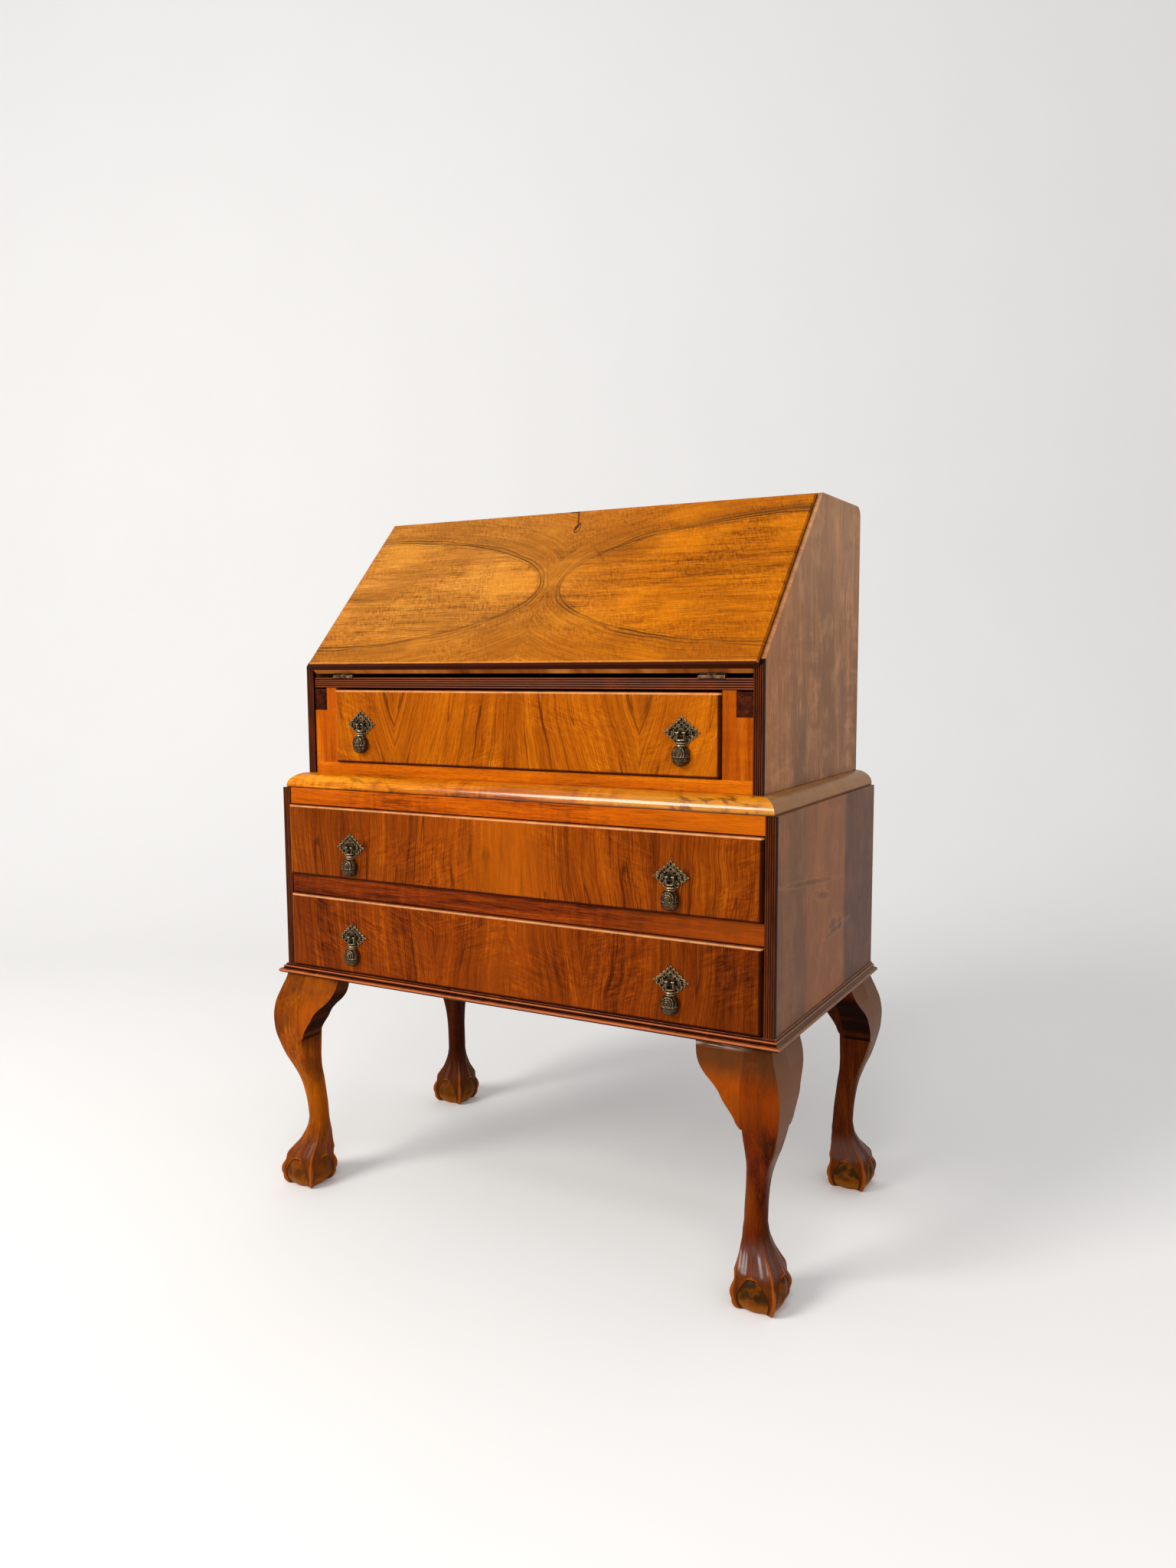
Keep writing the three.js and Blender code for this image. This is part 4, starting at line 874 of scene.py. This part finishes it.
# Shares of the height, of the knee's reach outwards and of the ankle's inset inwards, then squareness
LEG_ROWS = [
    (1, -0.12, 1.47, 40, 40), (0.975, 0.02, 1.46, 40, 40), (0.92, 0.46, 1.42, 40, 40),
    (0.86, 0.86, 1.35, 40, 30), (0.8, 1, 1.26, 36, 20), (0.74, 0.93, 1.2, 30, 14),
    (0.675, 0.66, 1.2, 14, 8), (0.613, 0.29, 1.2, 8, 5), (0.552, -0.22, 1.225, 5, 3.6),
    (0.49, -0.64, 1.31, 3.6, 2.8), (0.43, -0.85, 1.385, 2.7, 2.3), (0.368, -0.97, 1.46, 2.2, 2.1),
    (0.307, -1.02, 1.5, 2, 2),
]
# Shares of the foot's height, of the way to its middle, of the talons' radius and of the webs' radius
FOOT_ROWS = [
    (0.9, 0.02, 0.42, 0.465), (0.8, 0.1, 0.475, 0.53), (0.68, 0.3, 0.575, 0.63), (0.58, 0.58, 0.71, 0.745),
    (0.5, 0.78, 0.79, 0.845), (0.44, 0.9, 0.845, 0.915), (0.36, 0.96, 0.91, 0.955), (0.28, 1, 0.965, 0.985),
    (0.2, 1, 0.99, 0.98), (0.12, 1, 0.965, 0.95), (0.04, 1, 0.87, 0.86), (0, 1, 0.77, 0.76),
]
# Shares of an ear's width and of the height of its lower edge there
EAR_ROWS = [
    (1, 1), (0.99, 0.98), (0.97, 0.95), (0.92, 0.918), (0.84, 0.89), (0.73, 0.862), (0.63, 0.83),
    (0.575, 0.8), (0.5, 0.77), (0.435, 0.74), (0.4, 0.715), (0.36, 0.7),
]
KNEE, ANKLE_IN, FOOT_IN, LEG_FORWARD = 14.5 * MM, 29.5 * MM, 18 * MM, 5 * MM
CLAW, BALL, FOOT_TALL = 41 * MM, 32.5 * MM, 100 * MM
EAR_WIDE, EAR_THICK = 99 * MM, 27 * MM
# The ball's radius and height in millimetres, the arch of skin over it as a share and degrees,
# the widths of a talon's ridge and of the ball in degrees, and the height that the carving reaches
BALL_ROUND, BALL_UP = 32.3, 24
ARCH_UP, ARCH_WIDE = 0.43, 39
RIDGE_WIDE, DOME_WIDE, CARVED_TO = 7.2, 36, 88 * MM


def bump(value, place, width):
    """A smooth swelling about a place."""
    return np.exp(-(((value - place) / width) ** 2))


def leg_surface():
    """Heights, middles, radii and dome marks of a leg, measured outwards from the case's corner."""
    turns = 192
    angle = np.arange(turns) * 2 * np.pi / turns + np.pi / 4
    heights, middles, radii, domes = [], [], [], []
    for up, outer, inner, sharp, soft in smooth_curve(LEG_ROWS, 9):
        out, back = outer * KNEE, -inner * ANKLE_IN
        power = sharp + (soft - sharp) * (0.5 - 0.5 * np.sin(2 * angle))
        total = np.abs(np.cos(angle)) ** power + np.abs(np.sin(angle)) ** power
        heights.append(up * LEG_TOP)
        middles.append((out + back) / 2)
        radii.append((out - back) / 2 / total ** (1 / power))
        domes.append(np.zeros(turns))
    from_face = np.abs((np.degrees(angle) + 45) % 90 - 45)
    from_talon = np.abs(np.degrees(angle) % 90 - 45)
    for up, way, claw, web in smooth_curve(FOOT_ROWS, 12):
        middle = -ANKLE_IN + way * (ANKLE_IN - FOOT_IN)
        carve = float(np.clip((0.9 - up) / 0.25, 0, 1))
        knuckle = 1.6 * bump(up, 0.5, 0.05) + 1.2 * bump(up, 0.26, 0.06)
        knuckle -= 1.3 * bump(up, 0.38, 0.04) + bump(up, 0.14, 0.04)
        talon = claw * CLAW + carve * knuckle * MM
        fold = 1.5 * np.exp(-from_face / 5) - 1.7 * bump(from_face, 17, 9) + 0.4 * bump(from_face, 32, 6)
        skin = web * BALL + carve * fold * MM
        arch = ARCH_UP * np.sqrt(np.clip(1 - (from_face / ARCH_WIDE) ** 2, 0, 1))
        over = np.clip((up - arch) / 0.018, 0, 1)
        over = over * over * (3 - 2 * over)
        lip = 1.2 * MM * bump(up - arch, 0.028, 0.02)
        ball = sqrt(max(0, BALL_ROUND**2 - (up * FOOT_TALL / MM - BALL_UP) ** 2)) * MM
        body = np.minimum(ball, skin) * (1 - over) + (skin + lip) * over
        ridge = np.exp(-((from_talon / RIDGE_WIDE) ** 1.2))
        radius = body + (talon - body) * ridge * (1 if talon > skin.min() else 0)
        blend = float(np.clip((up - 0.76) / 0.14, 0, 1))
        plain = (claw * CLAW + web * BALL) / 2
        heights.append(up * FOOT_TALL)
        middles.append(middle)
        radii.append(radius * (1 - blend) + plain * blend)
        domes.append((1 - over) * (from_face < DOME_WIDE))
    return angle, np.array(heights), np.array(middles), np.array(radii), np.array(domes)


def relief_of(radii, size=5):
    """How far each point stands above its surroundings, in millimetres."""
    around = radii.copy()
    rows = np.arange(len(radii))
    for axis in (0, 1):
        total = np.zeros_like(around)
        for step in range(-size, size + 1):
            if axis == 1:
                total += np.roll(around, step, axis=1)
            else:
                total += around[np.clip(rows + step, 0, len(around) - 1)]
        around = total / (2 * size + 1)
    return (radii - around) / MM


def ear_shape(swap):
    """An ear beside the knee, along the case, with the knee's curve on its face."""
    under = smooth_curve(EAR_ROWS, 3)
    under = under[np.argsort(under[:, 1])]
    knee = smooth_curve([(up, outer) for up, outer, *_ in LEG_ROWS[:9]], 9)[::-1]
    inner_edge = -ANKLE_IN * 0.5
    rings = []
    for up in np.linspace(1, EAR_ROWS[-1][1], 56):
        reach = -np.interp(up, under[:, 1], under[:, 0]) * EAR_WIDE
        face = np.interp(up, knee[:, 0], knee[:, 1]) * KNEE - 0.05 * MM
        z = up * LEG_TOP
        ring = [(reach, -EAR_THICK, z), (reach, face, z), (inner_edge, face, z), (inner_edge, -EAR_THICK, z)]
        rings.append([(b, a, c) if swap else (a, b, c) for a, b, c in ring])
    return Shape().loft(rings)


def object_of(shape, name):
    mesh = mesh_of(name, shape.points, shape.faces)
    turn_outwards(mesh)
    return placed(name, mesh)


def legs():
    """Four cabriole legs with ball-and-claw feet, one shape mirrored to each corner."""
    angle, heights, middles, radii, domes = leg_surface()
    relief = relief_of(radii)
    relief[heights > CARVED_TO] = 0
    relief = np.where(domes > 0.5, DOME, relief)
    rings = []
    for z, middle, radius in zip(heights, middles, radii):
        x, y = middle + radius * np.cos(angle), middle + radius * np.sin(angle)
        rings.append(np.stack([x, y, np.full_like(angle, z)], 1))
    core = object_of(Shape().loft(rings), "leg_core")
    ears = [object_of(ear_shape(swap), "leg_ear") for swap in (False, True)]
    for ear in ears:
        union = core.modifiers.new("union", "BOOLEAN")
        union.operation, union.solver, union.object = "UNION", "MANIFOLD", ear
    graph = bpy.context.evaluated_depsgraph_get()
    whole = bpy.data.meshes.new_from_object(core.evaluated_get(graph))
    points = np.array([v.co for v in whole.vertices])
    polygons = [tuple(p.vertices) for p in whole.polygons]
    for extra in (core, *ears):
        bpy.data.objects.remove(extra)
    order = np.argsort(heights)
    row = np.interp(points[:, 2], heights[order], order.astype(float))
    middle = np.interp(points[:, 2], heights[order], middles[order])
    turn = np.arctan2(points[:, 1] - middle, points[:, 0] - middle)
    column = (turn - angle[0]) % (2 * np.pi) / (2 * np.pi) * len(angle)
    value = relief[np.round(row).astype(int), np.round(column).astype(int) % len(angle)]
    for hand, sx in (("left", -1), ("right", 1)):
        for end, sy in (("front", -1), ("rear", 1)):
            corner = FRONT - LEG_FORWARD if sy < 0 else BACK
            moved = points * (sx, sy, 1) + (sx * HALF, corner, 0)
            shape = Shape().add(moved, polygons, value)
            node = f"leg_{end}_{hand}"
            shape.piece(f"cabriole_{node}", "carcase", LEG_WOOD, "leg_wood", (node,), 32)


# Handles

PLATE_THICK = 1.6 * MM
DROP_BACK = 2.5 * MM
PIVOT = 5 * MM


def on_diamond(turns):
    """A point of a diamond of half width and height 1, so many quarter turns round it."""
    t = turns % 1
    return [(t, 1 - t), (1 - t, -t), (-t, t - 1), (t - 1, t)][int(turns)]


def plate_outline():
    """The lobed outline of a handle plate, as shares of its half width and half height."""
    points = []
    for k in range(160):
        a, b = on_diamond(k / 40)
        f = 0.8 + 0.2 * abs(cos(5 * pi * k / 40)) ** 0.75
        points.append((a * f, b * f))
    return points


def flat_plate(name, outline, loops, thick, edge):
    """Points and faces of a flat plate with holes, its edges rounded."""
    curve = bpy.data.curves.new(name, "CURVE")
    curve.dimensions = "2D"
    curve.fill_mode = "BOTH"
    curve.extrude = thick / 2 - edge
    curve.bevel_depth = edge
    curve.bevel_resolution = 1
    for loop in (outline, *loops):
        spline = curve.splines.new("POLY")
        spline.points.add(len(loop) - 1)
        for point, (a, b) in zip(spline.points, loop):
            point.co = (a, b, 0, 1)
        spline.use_cyclic_u = True
    flat = placed(name, curve)
    graph = bpy.context.evaluated_depsgraph_get()
    mesh = bpy.data.meshes.new_from_object(flat.evaluated_get(graph))
    bpy.data.objects.remove(flat)
    return [tuple(v.co) for v in mesh.vertices], [tuple(p.vertices) for p in mesh.polygons]


def plate(name, x, z, front, body, node):
    """A pierced, lobed plate over a dark ground that stands for the shade and dirt in its holes, and the post
    that holds the drop.
    """
    low, high = span(node)
    wide, tall = (high[0] - low[0]) / 2, (high[2] - low[2]) / 2
    edge, hole_wide, hole_tall, ground_thick = 0.25 * MM, 2.05 * MM, 1.85 * MM, 0.35 * MM
    outline = [(a * (wide - edge), b * (tall - edge)) for a, b in plate_outline()]
    hole = [(cos(k * pi / 5), sin(k * pi / 5)) for k in range(10)]
    loops = []
    for ring, count in ((0.745, 16), (0.43, 8)):
        for k in range(count):
            a, b = on_diamond(k * 4 / count)
            a, b = a * ring * wide, b * ring * tall
            loops.append([(a + hole_wide * c, b + hole_tall * s) for c, s in hole])
    points, faces = flat_plate(name + "_flat", outline, loops, PLATE_THICK - ground_thick, edge)
    middle = front - (PLATE_THICK + ground_thick) / 2
    shape = Shape()
    shape.add([(x + a, middle + c, z + b) for a, b, c in points], faces, 0.05)
    # The dark ground: a near-black sheet behind the holes, for their shade and old dirt
    ground = [(x + a * 0.985, z + b * 0.985) for a, b in outline]
    shape.loft([[(a, front - t, b) for a, b in ground] for t in (0, 0.36 * MM)], -0.6)
    face = front - PLATE_THICK
    rim = [(x + a * 0.97, face, z + b * 0.97) for a, b in outline]
    for ends in zip(rim, rim[1:] + rim[:1]):
        shape.tube(ends, [0.32 * MM] * 2, 5, 0.3)
    for ring, count, first in ((0.58, 24, 0.5), (0.92, 20, 0)):
        for k in range(count):
            a, b = on_diamond((k + first) * 4 / count)
            shape.bead((x + a * ring * wide, face, z + b * ring * tall), 0.8 * MM, 0.45)
    pivot = front - PIVOT
    boss = [(x, face + 0.4 * MM, z), (x, face - 0.7 * MM, z), (x, face - MM, z)]
    shape.tube(boss, [6.4 * MM, 5.8 * MM, 4.6 * MM], 20, -0.15)
    post = [((face - pivot) / MM, 3.1), (1.6, 2.6), (-1.2, 2.5), (-2.4, 1.8), (-3, 0.6)]
    shape.tube([(x, pivot + out * MM, z) for out, _ in post], [r * MM for _, r in post], 16, -0.3)
    shape.piece(name, body, BRONZE, "antique_bronze", (node,), 40)


# Radii and heights of the drop's turned rings and of its ball, in millimetres from the pivot
COLLAR = [
    (0.5, -7.9), (5.4, -7.9), (6.3, -8.4), (6.5, -9.1), (6.1, -9.8), (4.2, -10.2), (4, -11),
    (4.4, -11.6), (6.2, -12), (6.7, -12.8), (6.3, -13.6), (5, -14), (5, -14.6), (6.4, -15.1),
    (6.6, -15.7), (6.2, -16.2),
]
DROP_BALL = [
    (6.2, -16.2), (8.2, -17.4), (10, -19.2), (11.4, -21.7), (12.2, -24.8), (12.4, -28.2),
    (12.3, -29.4), (12.3, -30.6), (11.8, -33.2), (10.6, -36.2), (8.8, -38.6), (6.4, -40.3),
    (3.6, -41.1), (0.4, -41.3),
]


def drop(name, x, z, front, body, node):
    """A half-round ball drop with raised zigzags, collar rings and a wire yoke."""
    back, y = front - DROP_BACK, front - PIVOT
    shape = Shape()
    half = 6 * MM
    shape.tube([(x - half, y, z), (x + half, y, z)], [1.2 * MM] * 2, 10, 0.3)
    for sign in (-1, 1):
        ways = [(4.8, 0.8), (5, -1.5), (5, -4), (4.8, -6.5), (4.2, -8.9)]
        path = [(x + sign * a * MM, y, z + b * MM) for a, b in ways]
        shape.tube(path, [r * MM for r in (1.15, 1.1, 1, 1, 1)], 10, 0.16)
    rows = [(r, h, 0) for r, h in COLLAR] + [(r, h, 1) for r, h in smooth_curve(DROP_BALL, 4)[1:]]
    turn = np.linspace(0, np.pi, 45)
    top, tall, middle, widest = -16.2, 25.1, -25.6, 12.4
    rings, relief = [], []
    for r, h, on_ball in rows:
        raised = np.zeros_like(turn)
        if on_ball:
            t = (top - h) / tall
            far = np.hypot(np.cos(turn) * r, h - middle)
            if t < 0.52:
                raised += 0.3 * np.cos(2 * np.pi * far / 2.7) * np.clip((11.5 - far) / 2, 0, 1)
                raised += 0.25 * bump(far, 0, 1.2)
                raised += 0.16 * np.cos(turn * 20) * bump(far, 8.2, 1.2)
            raised += 0.34 * bump(t, 0.53, 0.018) - 0.3 * bump(t, 0.57, 0.014)
            if t > 0.6:
                raised += 0.2 * bump(t, 0.7, 0.018) + 0.16 * bump(t, 0.86, 0.02)
        reach = (r - 0.3 * on_ball * min(1, r / widest) + raised) * MM
        level = np.full_like(turn, z + h * MM)
        rings.append(np.stack([x + reach * np.cos(turn), back - reach * np.sin(turn), level], 1))
        relief.append(raised - 0.1 if on_ball else np.full_like(turn, 0.4 if r > 5.6 else -0.2))
    shape.loft(rings, np.concatenate(relief))
    shape.piece(name, body, BRONZE, "antique_bronze", (node,), 40)


def handles():
    for number in (1, 2, 3):
        for hand in ("left", "right"):
            drawer, end = f"drawer_{number}", f"{number}_{hand}"
            low, high = span(f"{drawer}_plate_{hand}")
            x, z, front = (low[0] + high[0]) / 2, (low[2] + high[2]) / 2, high[1]
            plate(f"handle_plate_{end}", x, z, front, drawer, f"{drawer}_plate_{hand}")
            drop(f"handle_drop_{end}", x, z, front, f"drop_{end}", f"{drawer}_drop_{hand}")


# Boards that keep their CAD shape: material, and the rounding of the edges in millimetres

KEPT = {
    "top_board": (TOP_WOOD, 0.6), "fall": (FALL_WOOD, 0.8), "frieze_rail": (RAIL_WOOD, 0.4),
    "mid_rail": (MID_RAIL_WOOD, 0.4), "upper_bottom_rail": (LOW_RAIL_WOOD, 0.4),
    "lower_back": (BACK_WOOD, 0.3), "upper_back": (BACK_WOOD, 0.3), "writing_board": (REED_WOOD, 0.2),
    "pigeonhole_rack": (INSIDE_UP, 0.5), "fall_lock": (BRASS, 0.4), "lock_bolt": (BRASS, 0.4),
}
for hand in ("left", "right"):
    KEPT[f"upper_side_{hand}"] = (UPPER_SIDE_WOOD, 0.8)
    KEPT[f"lower_side_{hand}"] = (LOWER_SIDE_WOOD, 0.6)
    KEPT[f"loper_guide_{hand}"] = (STILE_WOOD, 0.3)
    KEPT[f"loper_{hand}"] = (LOPER_WOOD, 0.5)
    KEPT[f"fall_hinge_leaf_{hand}"] = (BRASS, 0.15)
    KEPT[f"board_hinge_leaf_{hand}"] = (BRASS, 0.15)
for number in (1, 2, 3):
    for part in ("side_left", "side_right"):
        KEPT[f"drawer_{number}_{part}"] = (BOX_WOOD, 0.4)
    for part in ("back", "bottom"):
        KEPT[f"drawer_{number}_{part}"] = (BOX_ACROSS, 0.3)


def keep_boards():
    for name, (material, width) in KEPT.items():
        board = nodes[name]
        if not board.material_slots:
            board.data.materials.append(material)
        for slot in board.material_slots:
            slot.material = material
        bevel(board, width * MM)


# Stage, lights and camera


def stage():
    """A pale floor that curves up into a backdrop, and soft light."""
    turn, wall, wide = 1.2, 2.6, 6
    profile = [(-6, 0), (wall - turn, 0)]
    for k in range(1, 13):
        a = pi / 2 * k / 12
        profile.append((wall - turn + turn * sin(a), turn - turn * cos(a)))
    profile.append((wall, 6))
    slant = radians(29)
    points, faces = [], []
    for side in (-wide, wide):
        for y, z in profile:
            x = side * cos(slant) - y * sin(slant)
            points.append((x, side * sin(slant) + y * cos(slant), z))
    n = len(profile)
    for k in range(n - 1):
        faces.append((k, k + 1, n + k + 1, n + k))
    mesh = mesh_of("floor", points, faces)
    for polygon in mesh.polygons:
        polygon.use_smooth = True
    g, x, y, z = surface("floor_paint")
    cloud = g.noise(x * 3, y * 3, z * 3, 3)
    plain = g.ramp(cloud, [(0.3, (230, 229, 227)), (0.7, (232, 231, 229))])
    seen = g.ramp(cloud, [(0.3, (247, 246, 244)), (0.7, (248, 247, 245))])
    direct = g.node("LightPath").outputs["Is Camera Ray"]
    mesh.materials.append(g.shade(g.mix(direct, plain, seen), 0.75, level=0.2))
    floor = placed("floor", mesh)

    world = bpy.data.worlds.new("studio")
    bpy.context.scene.world = world
    world.use_nodes = True
    background = world.node_tree.nodes["Background"]
    background.inputs["Color"].default_value = (0.96, 0.97, 1, 1)
    background.inputs["Strength"].default_value = 0.6

    for name, place, aim, size, power in (
        ("key", (-1.55, -3, 2.55), (0, -0.1, 0.6), 1.6, 96),
        ("fill", (1.9, -2.8, 1.7), (0, 0, 0.5), 2.2, 18),
        ("overhead", (0.6, -1.6, 2.9), (0.1, -0.2, 0.6), 0.6, 9),
    ):
        lamp = bpy.data.lights.new(name, "AREA")
        lamp.shape = "DISK"
        lamp.size = size
        lamp.energy = power
        lamp.color = (1, 0.97, 0.93)
        made = placed(name, lamp)
        made.location = place
        made.rotation_euler = (Vector(aim) - Vector(place)).to_track_quat("-Z", "Y").to_euler()


def camera():
    """The photograph's camera, as fitted: where it stands, its yaw, pitch and roll, and its lens."""
    place = (0.841, -1.47315, 0.7782)
    yaw, pitch, roll = (radians(a) for a in (-29.16, -5.833, 0.309))
    lens = bpy.data.cameras.new("camera")
    lens.sensor_width = 36
    lens.lens = 26.78
    lens.clip_start = 0.05
    level = cos(pitch)
    forward = Vector((sin(yaw) * level, cos(yaw) * level, sin(pitch)))
    across = forward.cross(Vector((0, 0, 1))).normalized()
    sunk = forward.cross(across)
    right = cos(roll) * across + sin(roll) * sunk
    down = cos(roll) * sunk - sin(roll) * across
    turn = Matrix((right, -down, -forward)).transposed().to_4x4()
    made = placed("camera", lens)
    made.matrix_world = Matrix.Translation(place) @ turn
    bpy.context.scene.camera = made
    bpy.context.scene.view_settings.view_transform = "Standard"


base_moulding()
waist_moulding()
reeded_strips()
drawer_fronts()
legs()
handles()
keep_boards()
stage()
camera()
